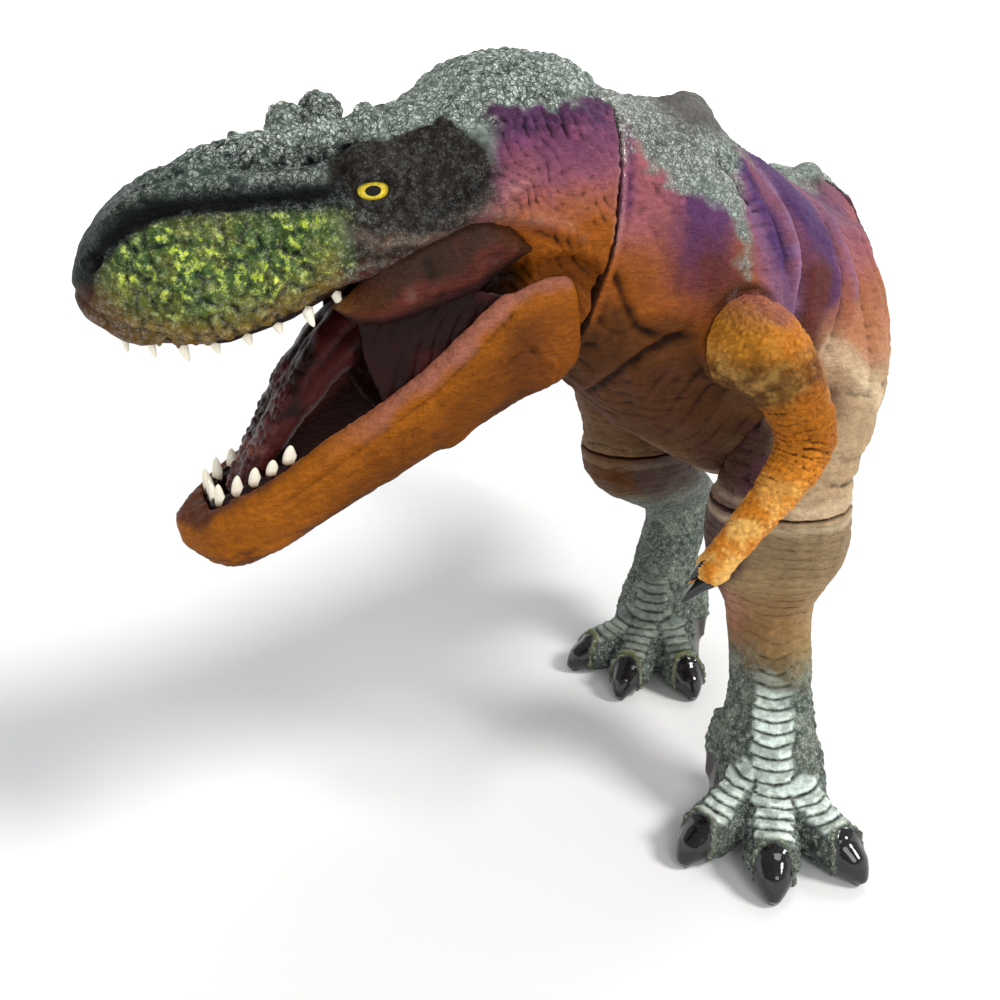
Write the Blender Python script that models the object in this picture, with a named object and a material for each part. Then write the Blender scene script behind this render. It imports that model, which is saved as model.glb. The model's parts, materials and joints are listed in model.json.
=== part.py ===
import math

import bmesh
import bpy
import numpy as np
from mathutils import Matrix, Vector

# A standing tyrannosaur figure in hollow vinyl: it faces -Y, its left side is +X, and its soles are at zero.
# Every size is in metres. Names that end in SHARES hold shares of the sizes named beside them.

# Trunk
TRUNK_LENGTH = 0.220
TRUNK_WIDTH = 0.112
TRUNK_HEIGHT = 0.130
HIP_HEIGHT = 0.205
HIP_SPREAD = 0.027
HIP_RISE = 0.030
HIP_BACK = 0.035
HUMP_LENGTH = 0.034
HUMP_HEIGHT = 0.026
HUMP_WIDTH = 0.017

# Head, measured from the mouth corners
HEAD_LENGTH = 0.142
HEAD_HEIGHT = 0.066
HEAD_WIDTH = 0.077
HEAD_YAW = math.radians(-33.8)
HEAD_PITCH = math.radians(3.3)
MOUTH_CORNER_X = -0.040
MOUTH_CORNER_Y = -0.1055
MOUTH_CORNER_Z = 0.2383
BROW_SIZE = 0.0125
EYE_RADIUS = 0.0075

# Lower jaw, measured from the same mouth corners
JAW_LENGTH = 0.129
JAW_DEPTH = 0.0735
JAW_WIDTH = 0.074
JAW_WALL = 0.0075
HINGE_BACK = 0.002
HINGE_DROP = 0.011
HINGE_BOSS_RADIUS = 0.012
HINGE_SWEEP_RADIUS = 0.0155
HINGE_PIN_RADIUS = 0.003
HINGE_PIN_LENGTH = 0.0634
FLOOR_DEPTH = 0.0075
PALATE_THICKNESS = 0.002
LINING_WALL = 0.002
LINING_REACH = 0.066
LINING_START = 0.015
LINING_SLOPE = math.radians(16.5)
TONGUE_WIDTH = 0.029
TONGUE_THICKNESS = 0.011
GUM_WIDTH = 0.004
GUM_HEIGHT = 0.005
LIP_OVERLAP = 0.001
UPPER_TOOTH_COUNT = 16
LOWER_TOOTH_COUNT = 12
UPPER_TOOTH_LENGTH = 0.004
LOWER_TOOTH_LENGTH = 0.006

# Neck seam, a flat oblique face in the head's own frame
NECK_SEAM_BACK = 0.020
NECK_SEAM_RISE = 0.006
NECK_SEAM_TILT = math.radians(15.1)
NECK_WIDTH = 0.078
NECK_HEIGHT = 0.100

# Arms
SHOULDER_X = -0.011
SHOULDER_Y = -0.050
SHOULDER_Z = 0.207
SHOULDER_REACH = 0.047
SHOULDER_YAW = math.radians(-25.5)
SHOULDER_RADIUS = 0.017
ARM_LENGTH = 0.086
ARM_THICKNESS = 0.017
RIGHT_ARM_RAISE = math.radians(40)
HAND_CLAW_LENGTH = 0.013
HAND_CLAW_RADIUS = 0.0032

# Legs and feet
KNEE_HEIGHT = 0.136
KNEE_SPREAD = 0.043
LEFT_KNEE_Y = -0.034
RIGHT_KNEE_Y = 0.003
KNEE_WIDTH = 0.050
THIGH_WIDTH = 0.053
THIGH_DEPTH = 0.084
LEFT_FOOT_X = 0.0464
LEFT_FOOT_Y = -0.0484
LEFT_FOOT_YAW = math.radians(21.3)
RIGHT_FOOT_X = -0.0447
RIGHT_FOOT_Y = 0.0515
RIGHT_FOOT_YAW = math.radians(3.9)
ANKLE_WIDTH = 0.033
HOCK_HEIGHT = 0.083
TOE_LENGTH = 0.067
TOE_WIDTH = 0.025
DEWCLAW_LENGTH = 0.030
SOLE_DEPTH = 0.004

# Tail
TAIL_SEAM_Y = 0.128
TAIL_SEAM_Z = 0.215
TAIL_SEAM_X = -0.008
TAIL_ROOT_WIDTH = 0.066
TAIL_LENGTH = 0.115
TAIL_WIDTH_SWEPT = 0.200
TAIL_RISE = 0.048
TAIL_WAY_SHARES = (-0.25, 0.96, 0.08)

# Swivel plugs: stem and flange radii, depth in the body and depth in the limb
FLANGE_THICKNESS = 0.004
NECK_STEM_RADIUS = 0.010
NECK_FLANGE_RADIUS = 0.016
NECK_PLUG_DEPTH = 0.014
TAIL_STEM_RADIUS = 0.010
TAIL_FLANGE_RADIUS = 0.015
TAIL_PLUG_DEPTH = 0.014
SHOULDER_STEM_RADIUS = 0.006
SHOULDER_FLANGE_RADIUS = 0.010
SHOULDER_PLUG_DEPTH = 0.010
KNEE_STEM_RADIUS = 0.009
KNEE_FLANGE_RADIUS = 0.014
KNEE_PLUG_DEPTH = 0.014

# Clearances
SEAT_GAP = 0.0003
SEAM_GAP = 0.0005
LANDING_MARGIN = 0.003
CUT_OVERRUN = 0.010

# Facets
BODY_SIDES = 20
LIMB_SIDES = 14
SMALL_SIDES = 10
TURNED_SIDES = 24
PIN_SIDES = 16
REACH_SIDES = 96
SHARP_ANGLE = math.radians(40)


def clear_scene():
    for item in list(bpy.data.objects):
        bpy.data.objects.remove(item)


def make_material(name, colour, roughness, metallic=0.0):
    material = bpy.data.materials.new(name)
    material.use_nodes = True
    shader = material.node_tree.nodes["Principled BSDF"]
    shader.inputs["Base Color"].default_value = (*colour, 1.0)
    shader.inputs["Roughness"].default_value = roughness
    shader.inputs["Metallic"].default_value = metallic
    return material


# Shapes

def object_from(name, vertices, faces):
    mesh = bpy.data.meshes.new(name)
    mesh.from_pydata([tuple(point) for point in vertices], [], faces)
    shape = bmesh.new()
    shape.from_mesh(mesh)
    bmesh.ops.recalc_face_normals(shape, faces=shape.faces)
    shape.to_mesh(mesh)
    shape.free()
    item = bpy.data.objects.new(name, mesh)
    bpy.context.scene.collection.objects.link(item)
    return item


def smooth_rows(rows, steps):
    # A curve through all rows, with evenly spaced rows added between them
    rows = np.array(rows, dtype=float)
    padded = np.vstack([2 * rows[0] - rows[1], rows, 2 * rows[-1] - rows[-2]])
    result = []
    for index in range(1, len(padded) - 2):
        before, start, end, after = padded[index - 1:index + 3]
        for step in range(steps):
            t = step / steps
            curve = 2 * start + (end - before) * t
            curve = curve + (2 * before - 5 * start + 4 * end - after) * t ** 2
            curve = curve + (3 * start - before - 3 * end + after) * t ** 3
            result.append(curve / 2)
    result.append(rows[-1])
    return np.array(result)


def section(sides, half_width, rise, drop, squareness, narrowing):
    # An oval whose exponent makes it squarer, and whose upper half can be narrower
    points = []
    for index in range(sides):
        angle = 2 * math.pi * (index + 0.5) / sides
        cosine = math.cos(angle)
        sine = math.sin(angle)
        across = half_width * math.copysign(abs(cosine) ** squareness, cosine)
        upward = (rise if sine > 0 else drop) * math.copysign(abs(sine) ** squareness, sine)
        points.append((across * (1 - narrowing * max(0.0, sine)), upward))
    return points


def loft(name, rows, sides, side=(1, 0, 0), squareness=1.0, narrowing=0.0, first=None, last=None,
         level=None):
    # Each row holds a centre, a half width, a rise and a drop
    # The rings stand across the path, or all across the level direction; first and last set the end planes
    # Without a side, the rings stay upright along a path that turns sideways
    centres = [Vector(row[:3]) for row in rows]
    count = len(rows)
    vertices = []
    for index, row in enumerate(rows):
        direction = centres[min(index + 1, count - 1)] - centres[max(index - 1, 0)]
        if level is not None:
            direction = Vector(level)
        if index == 0 and first is not None:
            direction = Vector(first)
        if index == count - 1 and last is not None:
            direction = Vector(last)
        direction.normalize()
        reference = Vector(side) if side else direction.cross(Vector((0, 0, 1)))
        across = (reference - direction * reference.dot(direction)).normalized()
        upward = across.cross(direction)
        for x, z in section(sides, row[3], row[4], row[5], squareness, narrowing):
            vertices.append(centres[index] + across * x + upward * z)
    faces = [list(range(sides)), list(range((count - 1) * sides, count * sides))]
    for ring in range(count - 1):
        for index in range(sides):
            after = (index + 1) % sides
            faces.append([ring * sides + index, ring * sides + after,
                          (ring + 1) * sides + after, (ring + 1) * sides + index])
    return object_from(name, vertices, faces)


def turned(name, profile, placement, sides=TURNED_SIDES):
    # A profile of radius and height, turned about the Z axis of the placement
    rings = [point for point in profile if point[0] > 0]
    vertices = []
    for radius, height in rings:
        for index in range(sides):
            angle = 2 * math.pi * index / sides
            local = Vector((radius * math.cos(angle), radius * math.sin(angle), height))
            vertices.append(placement @ local)
    last = len(rings) - 1
    faces = [list(range(sides)), list(range(last * sides, (last + 1) * sides))]
    for ring in range(last):
        for index in range(sides):
            after = (index + 1) % sides
            faces.append([ring * sides + index, ring * sides + after,
                          (ring + 1) * sides + after, (ring + 1) * sides + index])
    return object_from(name, vertices, faces)


def ellipsoid(name, centre, radii, placement, sides=SMALL_SIDES):
    bands = sides // 2
    profile = []
    for band in range(1, bands):
        angle = math.pi * band / bands
        profile.append((math.sin(angle), -math.cos(angle)))
    vertices = []
    for radius, height in profile:
        for index in range(sides):
            angle = 2 * math.pi * index / sides
            unit = Vector((radius * math.cos(angle), radius * math.sin(angle), height))
            scaled = Vector([unit[axis] * radii[axis] for axis in range(3)])
            vertices.append(placement @ (Vector(centre) + scaled))
    low = len(vertices)
    vertices.append(placement @ (Vector(centre) - Vector((0, 0, radii[2]))))
    vertices.append(placement @ (Vector(centre) + Vector((0, 0, radii[2]))))
    faces = []
    for index in range(sides):
        after = (index + 1) % sides
        faces.append([index, after, low])
        top = (bands - 2) * sides
        faces.append([top + index, top + after, low + 1])
        for band in range(bands - 2):
            faces.append([band * sides + index, band * sides + after,
                          (band + 1) * sides + after, (band + 1) * sides + index])
    return object_from(name, vertices, faces)


def combine(target, other, operation):
    # The trunk carries so many joined forms that only the manifold solver keeps it closed
    modifier = target.modifiers.new(operation, "BOOLEAN")
    modifier.operation = operation
    modifier.solver = "MANIFOLD" if target.name == "torso_shell" else "EXACT"
    modifier.object = other
    bpy.context.view_layer.update()
    graph = bpy.context.evaluated_depsgraph_get()
    mesh = bpy.data.meshes.new_from_object(target.evaluated_get(graph))
    target.modifiers.clear()
    old = target.data
    target.data = mesh
    bpy.data.meshes.remove(old)
    bpy.data.objects.remove(other)
    return target


def join(target, other):
    return combine(target, other, "UNION")


def cut(target, other):
    return combine(target, other, "DIFFERENCE")


def keep_side(item, point, normal):
    # Cuts the body along a plane and keeps what lies on the side that the normal points to
    shape = bmesh.new()
    shape.from_mesh(item.data)
    everything = list(shape.verts) + list(shape.edges) + list(shape.faces)
    result = bmesh.ops.bisect_plane(shape, geom=everything, plane_co=point, plane_no=normal,
                                    clear_inner=True)
    edges = [part for part in result["geom_cut"] if isinstance(part, bmesh.types.BMEdge)]
    bmesh.ops.holes_fill(shape, edges=edges)
    bmesh.ops.recalc_face_normals(shape, faces=shape.faces)
    shape.to_mesh(item.data)
    shape.free()
    return item


def basis(origin, axis, side):
    # A placement whose Z axis is the given axis
    upward = Vector(axis).normalized()
    across = Vector(side)
    across = (across - upward * across.dot(upward)).normalized()
    deep = upward.cross(across)
    turn = Matrix((across, deep, upward)).transposed().to_4x4()
    return Matrix.Translation(origin) @ turn


# Places of the joints

HEAD_PLACE = (Matrix.Translation((MOUTH_CORNER_X, MOUTH_CORNER_Y, MOUTH_CORNER_Z))
              @ Matrix.Rotation(HEAD_YAW, 4, "Z") @ Matrix.Rotation(HEAD_PITCH, 4, "X"))
HEAD_TURN = HEAD_PLACE.to_3x3()


def head_point(across, forward, upward):
    return HEAD_PLACE @ Vector((across, -forward, upward))


NECK_SEAM = head_point(0, -NECK_SEAM_BACK, NECK_SEAM_RISE)
NECK_AXIS = HEAD_TURN @ Vector((0, -math.cos(NECK_SEAM_TILT), math.sin(NECK_SEAM_TILT)))
NECK_SIDE = HEAD_TURN @ Vector((1, 0, 0))
JAW_HINGE = head_point(0, -HINGE_BACK, -HINGE_DROP)
TAIL_SEAM = Vector((TAIL_SEAM_X, TAIL_SEAM_Y, TAIL_SEAM_Z))
TAIL_AXIS = Vector(TAIL_WAY_SHARES).normalized()
SHOULDER_OUT = Vector((math.cos(SHOULDER_YAW), math.sin(SHOULDER_YAW), 0))
SHOULDER_FORWARD = Vector((math.sin(SHOULDER_YAW), -math.cos(SHOULDER_YAW), 0))
CHEST_CENTRE = Vector((SHOULDER_X, SHOULDER_Y, SHOULDER_Z))


def shoulder_seam(mirror):
    return CHEST_CENTRE + SHOULDER_OUT * SHOULDER_REACH * mirror


def knee_seam(mirror):
    return Vector((KNEE_SPREAD * mirror, LEFT_KNEE_Y if mirror > 0 else RIGHT_KNEE_Y, KNEE_HEIGHT))


# Swivel plugs, each pressed into its limb and turning in the body

def plug_profile(stem, flange, depth, grown=0.0):
    return [(flange + grown, -depth - grown),
            (flange + grown, -depth + FLANGE_THICKNESS + grown),
            (stem + grown, -depth + FLANGE_THICKNESS + grown),
            (stem + grown, depth + grown)]


def make_plug(name, placement, stem, flange, depth, material):
    plug = turned(name, plug_profile(stem, flange, depth), placement)
    plug.data.materials.append(material)
    return plug


def cut_socket(item, placement, stem, flange, depth):
    return cut(item, turned("socket", plug_profile(stem, flange, depth, SEAT_GAP), placement))


NECK_PLUG = (basis(NECK_SEAM, NECK_AXIS, NECK_SIDE), NECK_STEM_RADIUS, NECK_FLANGE_RADIUS, NECK_PLUG_DEPTH)
TAIL_PLUG = (basis(TAIL_SEAM, TAIL_AXIS, (1, 0, 0)), TAIL_STEM_RADIUS, TAIL_FLANGE_RADIUS, TAIL_PLUG_DEPTH)


def shoulder_plug(mirror):
    placement = basis(shoulder_seam(mirror), SHOULDER_OUT * mirror, (0, 0, 1))
    return placement, SHOULDER_STEM_RADIUS, SHOULDER_FLANGE_RADIUS, SHOULDER_PLUG_DEPTH


def knee_plug(mirror):
    placement = basis(knee_seam(mirror), (0, 0, -1), (1, 0, 0))
    return placement, KNEE_STEM_RADIUS, KNEE_FLANGE_RADIUS, KNEE_PLUG_DEPTH


# Trunk with neck and thighs

# Across in trunk widths, along in trunk lengths, up in hip heights, half width in trunk widths,
# rise and drop in trunk heights
TRUNK_SHARES = (
    (-0.125, -0.29, 1.155, 0.41, 0.385, 0.45),
    (-0.054, -0.16, 1.088, 0.46, 0.400, 0.51),
    (0.0, 0.0, 1.025, 0.49, 0.400, 0.51),
    (0.010, 0.18, 0.975, 0.47, 0.390, 0.47),
    (-0.010, 0.36, 0.980, 0.40, 0.35, 0.39),
    (-0.045, 0.50, 1.015, 0.33, 0.29, 0.31),
)
BACK_NARROWING = 0.12
# Along in trunk lengths and height above the trunk's own top in hump heights, front to back
HUMP_SHARES = ((-0.16, 1.0), (-0.03, 0.45), (0.11, 0.40), (0.25, 0.45), (0.39, 0.62), (0.50, 0.45))
# Share of the way from hip to knee, outward shift in thigh depths,
# half width in thigh widths, back and front sizes in thigh depths
THIGH_SHARES = (
    (0.0, 0.0, 0.34, 0.34, 0.32),
    (0.25, 0.03, 0.50, 0.43, 0.47),
    (0.50, 0.06, 0.53, 0.42, 0.47),
    (0.75, 0.04, 0.50, 0.36, 0.38),
    (0.90, 0.01, 0.46, 0.31, 0.33),
)
# How far each of those stations lies behind the straight way, in thigh depths
LEFT_THIGH_BACK_SHARES = (0.02, 0.10, 0.10, 0.04, 0.01)
RIGHT_THIGH_BACK_SHARES = (0.02, -0.08, -0.16, -0.11, -0.04)


def trunk_rows():
    rows = [(*NECK_SEAM, NECK_WIDTH / 2, NECK_HEIGHT / 2, NECK_HEIGHT / 2)]
    for across, along, upward, half, rise, drop in TRUNK_SHARES:
        rows.append((across * TRUNK_WIDTH, along * TRUNK_LENGTH, upward * HIP_HEIGHT,
                     half * TRUNK_WIDTH, rise * TRUNK_HEIGHT, drop * TRUNK_HEIGHT))
    root = TAIL_ROOT_WIDTH / 2
    rows.append((*TAIL_SEAM, root, root, root))
    return smooth_rows(rows, 2)


def thigh_rows(mirror):
    hip = Vector((HIP_SPREAD * mirror, HIP_BACK, HIP_HEIGHT + HIP_RISE))
    knee = knee_seam(mirror)
    rows = []
    back_shares = LEFT_THIGH_BACK_SHARES if mirror > 0 else RIGHT_THIGH_BACK_SHARES
    for (along, outward, half, behind, before), back in zip(THIGH_SHARES, back_shares):
        centre = hip.lerp(knee, along)
        centre += Vector((outward * THIGH_DEPTH * mirror, back * THIGH_DEPTH, 0))
        rows.append((*centre, half * THIGH_WIDTH, behind * THIGH_DEPTH, before * THIGH_DEPTH))
    rows.append((*knee, KNEE_WIDTH / 2, KNEE_WIDTH / 2, KNEE_WIDTH / 2))
    return smooth_rows(rows, 2)


def make_torso(material):
    rows = trunk_rows()
    torso = loft("torso_shell", rows, BODY_SIDES, narrowing=BACK_NARROWING, first=-NECK_AXIS, last=TAIL_AXIS,
                 side=(SHOULDER_OUT + Vector((1, 0, 0))).normalized())
    heights = rows[:, 2] + rows[:, 4]
    for along, size in HUMP_SHARES:
        place = along * TRUNK_LENGTH
        top = np.interp(place, rows[:, 1], heights)
        centre = Vector((np.interp(place, rows[:, 1], rows[:, 0]), place, top))
        hump = ellipsoid("hump", (0, 0, 0), (HUMP_WIDTH / 2, HUMP_LENGTH / 2, size * HUMP_HEIGHT / 2),
                         Matrix.Translation(centre))
        join(torso, hump)
    for mirror in (1, -1):
        join(torso, loft("thigh", thigh_rows(mirror), LIMB_SIDES, level=(0, 0, -1)))
        seam = shoulder_seam(mirror)
        inner = seam - SHOULDER_OUT * mirror * SHOULDER_REACH / 2
        boss = [(*inner, SHOULDER_RADIUS, SHOULDER_RADIUS, SHOULDER_RADIUS),
                (*seam, SHOULDER_RADIUS, SHOULDER_RADIUS, SHOULDER_RADIUS)]
        join(torso, loft("shoulder_boss", boss, LIMB_SIDES, side=(0, 0, 1)))
        landing = [(SHOULDER_RADIUS + LANDING_MARGIN, 0), (SHOULDER_RADIUS + LANDING_MARGIN, SHOULDER_REACH)]
        cut(torso, turned("shoulder_landing", landing, shoulder_plug(mirror)[0]))
    cut_socket(torso, *NECK_PLUG)
    cut_socket(torso, *TAIL_PLUG)
    for mirror in (1, -1):
        cut_socket(torso, *shoulder_plug(mirror))
        cut_socket(torso, *knee_plug(mirror))
    torso.data.materials.append(material)
    return torso


# Head

# Forward in head lengths, top and bottom in head heights, half width in head widths
HEAD_SHARES = (
    (-0.26, 0.76, -0.18, 0.47),
    (-0.14, 0.94, -0.21, 0.49),
    (0.00, 1.00, -0.14, 0.50),
    (0.10, 0.97, 0.12, 0.50),
    (0.18, 0.87, 0.18, 0.49),
    (0.28, 0.80, 0.12, 0.47),
    (0.39, 0.75, 0.03, 0.455),
    (0.50, 0.74, -0.02, 0.44),
    (0.60, 0.73, -0.10, 0.43),
    (0.74, 0.67, -0.16, 0.405),
    (0.85, 0.59, -0.12, 0.34),
    (0.93, 0.46, -0.05, 0.22),
    (0.98, 0.32, 0.04, 0.12),
    (1.00, 0.21, 0.11, 0.03),
)
HEAD_CENTRE_SHARE = 0.40
HEAD_SQUARENESS = 0.66
HEAD_NARROWING = 0.20
# Forward in head lengths, half width in head widths, roof in head heights
MOUTH_SHARES = (
    (0.090, 0.360, 0.27),
    (0.210, 0.372, 0.37),
    (0.460, 0.362, 0.37),
    (0.600, 0.345, 0.27),
    (0.740, 0.315, 0.15),
    (0.845, 0.250, 0.09),
    (0.905, 0.140, 0.07),
    (0.930, 0.050, 0.06),
)
# Across in head widths, forward in head lengths, up in head heights, size in brow sizes
BROW_SHARES = ((0.30, 0.465, 0.73, 1.0), (0.31, 0.373, 0.77, 1.1), (0.25, 0.585, 0.66, 0.8))
BROW_ROUND_SHARES = (1.0, 1.2, 1.4)
EYE_SHARES = (0.365, 0.385, 0.49)


def head_rows(shares, centre_share):
    rows = []
    for forward, top, bottom, half in shares:
        middle = bottom + centre_share * (top - bottom)
        rows.append((0, -forward * HEAD_LENGTH, middle * HEAD_HEIGHT, half * HEAD_WIDTH,
                     (top - middle) * HEAD_HEIGHT, (middle - bottom) * HEAD_HEIGHT))
    return rows


def box_loft(name, rows):
    # A run of upright rectangles: forward place, half width, bottom and top
    vertices = []
    for forward, half, bottom, top in rows:
        for across, upward in ((-half, bottom), (half, bottom), (half, top), (-half, top)):
            vertices.append((across, -forward, upward))
    last = 4 * (len(rows) - 1)
    faces = [[0, 1, 2, 3], [last, last + 1, last + 2, last + 3]]
    for ring in range(len(rows) - 1):
        for index in range(4):
            after = (index + 1) % 4
            faces.append([4 * ring + index, 4 * ring + after, 4 * ring + 4 + after, 4 * ring + 4 + index])
    return object_from(name, vertices, faces)


def keep_front(item):
    # Trims a head piece along the neck seam
    normal = Vector((0, -math.cos(NECK_SEAM_TILT), math.sin(NECK_SEAM_TILT)))
    return keep_side(item, Vector((0, NECK_SEAM_BACK, NECK_SEAM_RISE)) + normal * SEAM_GAP, normal)


def place_in_head(item):
    item.data.transform(HEAD_PLACE)
    return item


def mouth_outline(grown, lift):
    rows = []
    for forward, half, roof in MOUTH_SHARES:
        rows.append((forward * HEAD_LENGTH, half * HEAD_WIDTH + grown, roof * HEAD_HEIGHT + lift))
    return rows


def hinge_placement():
    return basis((0, HINGE_BACK, -HINGE_DROP), (1, 0, 0), (0, 0, 1))


def hinge_cylinder(name, radius, start, end, sides):
    return turned(name, [(radius, start), (radius, end)], hinge_placement(), sides)


def jaw_inner_half(forward):
    rows = np.array(JAW_SHARES)
    half = np.interp(forward, rows[:, 0] * JAW_LENGTH, rows[:, 3] * JAW_WIDTH)
    return half - JAW_WALL


def lip_height(forward):
    rows = np.array(HEAD_SHARES)
    return np.interp(forward, rows[:, 0] * HEAD_LENGTH, rows[:, 2] * HEAD_HEIGHT)


def make_head(material):
    rows = smooth_rows(head_rows(HEAD_SHARES, HEAD_CENTRE_SHARE), 2)
    head = loft("head_shell", rows, BODY_SIDES, (-1, 0, 0), HEAD_SQUARENESS, HEAD_NARROWING,
                level=(0, -1, 0))
    keep_front(head)
    for across, forward, upward, size in BROW_SHARES:
        radius = size * BROW_SIZE / 2
        for mirror in (1, -1):
            centre = (across * HEAD_WIDTH * mirror, -forward * HEAD_LENGTH, upward * HEAD_HEIGHT)
            radii = [radius * share for share in BROW_ROUND_SHARES]
            join(head, ellipsoid("brow", centre, radii, Matrix.Identity(4)))
    cavity = [(forward, half, -JAW_DEPTH, roof) for forward, half, roof in mouth_outline(0, 0)]
    cut(head, box_loft("mouth_cavity", cavity))
    boss_end = jaw_inner_half(0) - SEAM_GAP
    for mirror in (1, -1):
        start = boss_end * mirror
        end = HEAD_WIDTH * mirror
        cut(head, hinge_cylinder("ear_notch", HINGE_SWEEP_RADIUS, min(start, end), max(start, end),
                                 TURNED_SIDES))
    join(head, hinge_cylinder("hinge_boss", HINGE_BOSS_RADIUS, -boss_end, boss_end, TURNED_SIDES))
    cut_hinge_bore(head)
    across, forward, upward = EYE_SHARES
    for mirror in (1, -1):
        centre = (across * HEAD_WIDTH * mirror, -forward * HEAD_LENGTH, upward * HEAD_HEIGHT)
        radius = EYE_RADIUS + SEAT_GAP
        cut(head, ellipsoid("eye_socket", centre, (radius, radius, radius), Matrix.Identity(4), LIMB_SIDES))
    place_in_head(head)
    cut_socket(head, *NECK_PLUG)
    head.data.materials.append(material)
    return head


def cut_hinge_bore(item):
    reach = HINGE_PIN_LENGTH / 2 + SEAT_GAP
    return cut(item, hinge_cylinder("hinge_bore", HINGE_PIN_RADIUS + SEAT_GAP, -reach, reach, PIN_SIDES))


def make_hinge_pin(material):
    reach = HINGE_PIN_LENGTH / 2
    pin = hinge_cylinder("jaw_pin", HINGE_PIN_RADIUS, -reach, reach, PIN_SIDES)
    place_in_head(pin)
    pin.data.materials.append(material)
    return pin


def make_eye(name, mirror, material):
    across, forward, upward = EYE_SHARES
    centre = (across * HEAD_WIDTH * mirror, -forward * HEAD_LENGTH, upward * HEAD_HEIGHT)
    eye = ellipsoid(name, centre, (EYE_RADIUS, EYE_RADIUS, EYE_RADIUS), Matrix.Identity(4), LIMB_SIDES)
    place_in_head(eye)
    eye.data.materials.append(material)
    return eye


def make_palate(material):
    rows = []
    for forward, half, roof in mouth_outline(-SEAT_GAP, -SEAT_GAP)[1:-1]:
        rows.append((forward, half, roof - PALATE_THICKNESS, roof))
    palate = box_loft("palate", rows)
    place_in_head(palate)
    palate.data.materials.append(material)
    return palate


# Teeth: a gum strip bent to a horseshoe, with a pointed tooth on every second length of it

TOOTH_INSET_SHARE = 0.083


def make_teeth(name, path, bottoms, tops, length, upward, material):
    # Path points run from one side through the front to the other
    path = np.array(path)
    direction = np.gradient(path, axis=0)
    direction /= np.linalg.norm(direction, axis=1)[:, None]
    normal = np.stack([direction[:, 1], -direction[:, 0]], axis=1)
    inner = path - normal * GUM_WIDTH / 2
    outer = path + normal * GUM_WIDTH / 2
    vertices = []
    for index in range(len(path)):
        vertices.append((inner[index, 0], -inner[index, 1], bottoms[index]))
        vertices.append((outer[index, 0], -outer[index, 1], bottoms[index]))
        vertices.append((outer[index, 0], -outer[index, 1], tops[index]))
        vertices.append((inner[index, 0], -inner[index, 1], tops[index]))
    last = 4 * (len(path) - 1)
    faces = [[0, 1, 2, 3], [last, last + 1, last + 2, last + 3]]
    for ring in range(len(path) - 1):
        for index in range(4):
            after = (index + 1) % 4
            faces.append([4 * ring + index, 4 * ring + after, 4 * ring + 4 + after, 4 * ring + 4 + index])
    teeth = object_from(name, vertices, faces)
    shape = bmesh.new()
    shape.from_mesh(teeth.data)
    shape.faces.ensure_lookup_table()
    side = 2 if upward else 0
    roots = [shape.faces[2 + 4 * ring + side] for ring in range(1, len(path) - 1, 2)]
    bmesh.ops.inset_individual(shape, faces=roots, thickness=TOOTH_INSET_SHARE * GUM_WIDTH)
    bmesh.ops.poke(shape, faces=roots, offset=length)
    bmesh.ops.recalc_face_normals(shape, faces=shape.faces)
    shape.to_mesh(teeth.data)
    shape.free()
    place_in_head(teeth)
    teeth.data.materials.append(material)
    return teeth


def horseshoe(forwards, halves, count):
    # Evenly spaced points along an outline given on one side, mirrored at the front
    near = list(zip(halves, forwards))
    outline = np.array(near + [(-half, forward) for half, forward in reversed(near)])
    steps = np.linalg.norm(np.diff(outline, axis=0), axis=1)
    distance = np.concatenate([[0], np.cumsum(steps)])
    even = np.linspace(0, distance[-1], count)
    return np.stack([np.interp(even, distance, outline[:, 0]),
                     np.interp(even, distance, outline[:, 1])], axis=1)


# How far the tooth row keeps inside the outline at the sides and at the front, in gum insets
UPPER_SIDE_SHARE = 1.15
UPPER_FRONT_SHARE = 0.6
LOWER_SIDE_SHARE = 1.25


def make_upper_teeth(material):
    inset = SEAT_GAP + GUM_WIDTH / 2
    outline = [(forward, half) for forward, half, roof in mouth_outline(0, 0)[2:-1]]
    forwards = [forward for forward, half in outline]
    halves = [half - inset * UPPER_SIDE_SHARE for forward, half in outline]
    forwards[-1] -= inset * UPPER_FRONT_SHARE
    path = horseshoe(forwards, halves, 2 * UPPER_TOOTH_COUNT + 2)
    bottoms = lip_height(path[:, 1]) + LIP_OVERLAP
    tops = bottoms + GUM_HEIGHT
    return make_teeth("upper_teeth", path, bottoms, tops, UPPER_TOOTH_LENGTH, False, material)


# Lower jaw

# Forward in jaw lengths, rim and bottom in jaw depths, half width in jaw widths
JAW_SHARES = (
    (-0.06, 0.00, -0.49, 0.47),
    (0.00, 0.02, -0.57, 0.50),
    (0.13, -0.04, -0.62, 0.49),
    (0.22, -0.15, -0.68, 0.48),
    (0.35, -0.32, -0.76, 0.45),
    (0.47, -0.44, -0.85, 0.42),
    (0.63, -0.58, -0.96, 0.38),
    (0.76, -0.70, -1.06, 0.35),
    (0.88, -0.79, -1.12, 0.29),
    (0.95, -0.84, -1.09, 0.20),
    (1.00, -0.88, -1.00, 0.07),
)
JAW_SQUARENESS = 0.5
JAW_OPEN_SHARE = 0.654
FLOOR_END_SHARE = 0.917
JAW_OPEN_END = JAW_OPEN_SHARE * JAW_LENGTH
FLOOR_END = FLOOR_END_SHARE * JAW_LENGTH


def jaw_stations(start, end):
    # The ends of a stretch of the jaw and the jaw's own stations between them
    between = [row[0] * JAW_LENGTH for row in JAW_SHARES if start < row[0] * JAW_LENGTH < end]
    return [start, *between, end]


def jaw_value(forward, column):
    rows = np.array(JAW_SHARES)
    return np.interp(forward, rows[:, 0] * JAW_LENGTH, rows[:, column] * JAW_DEPTH)


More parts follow.
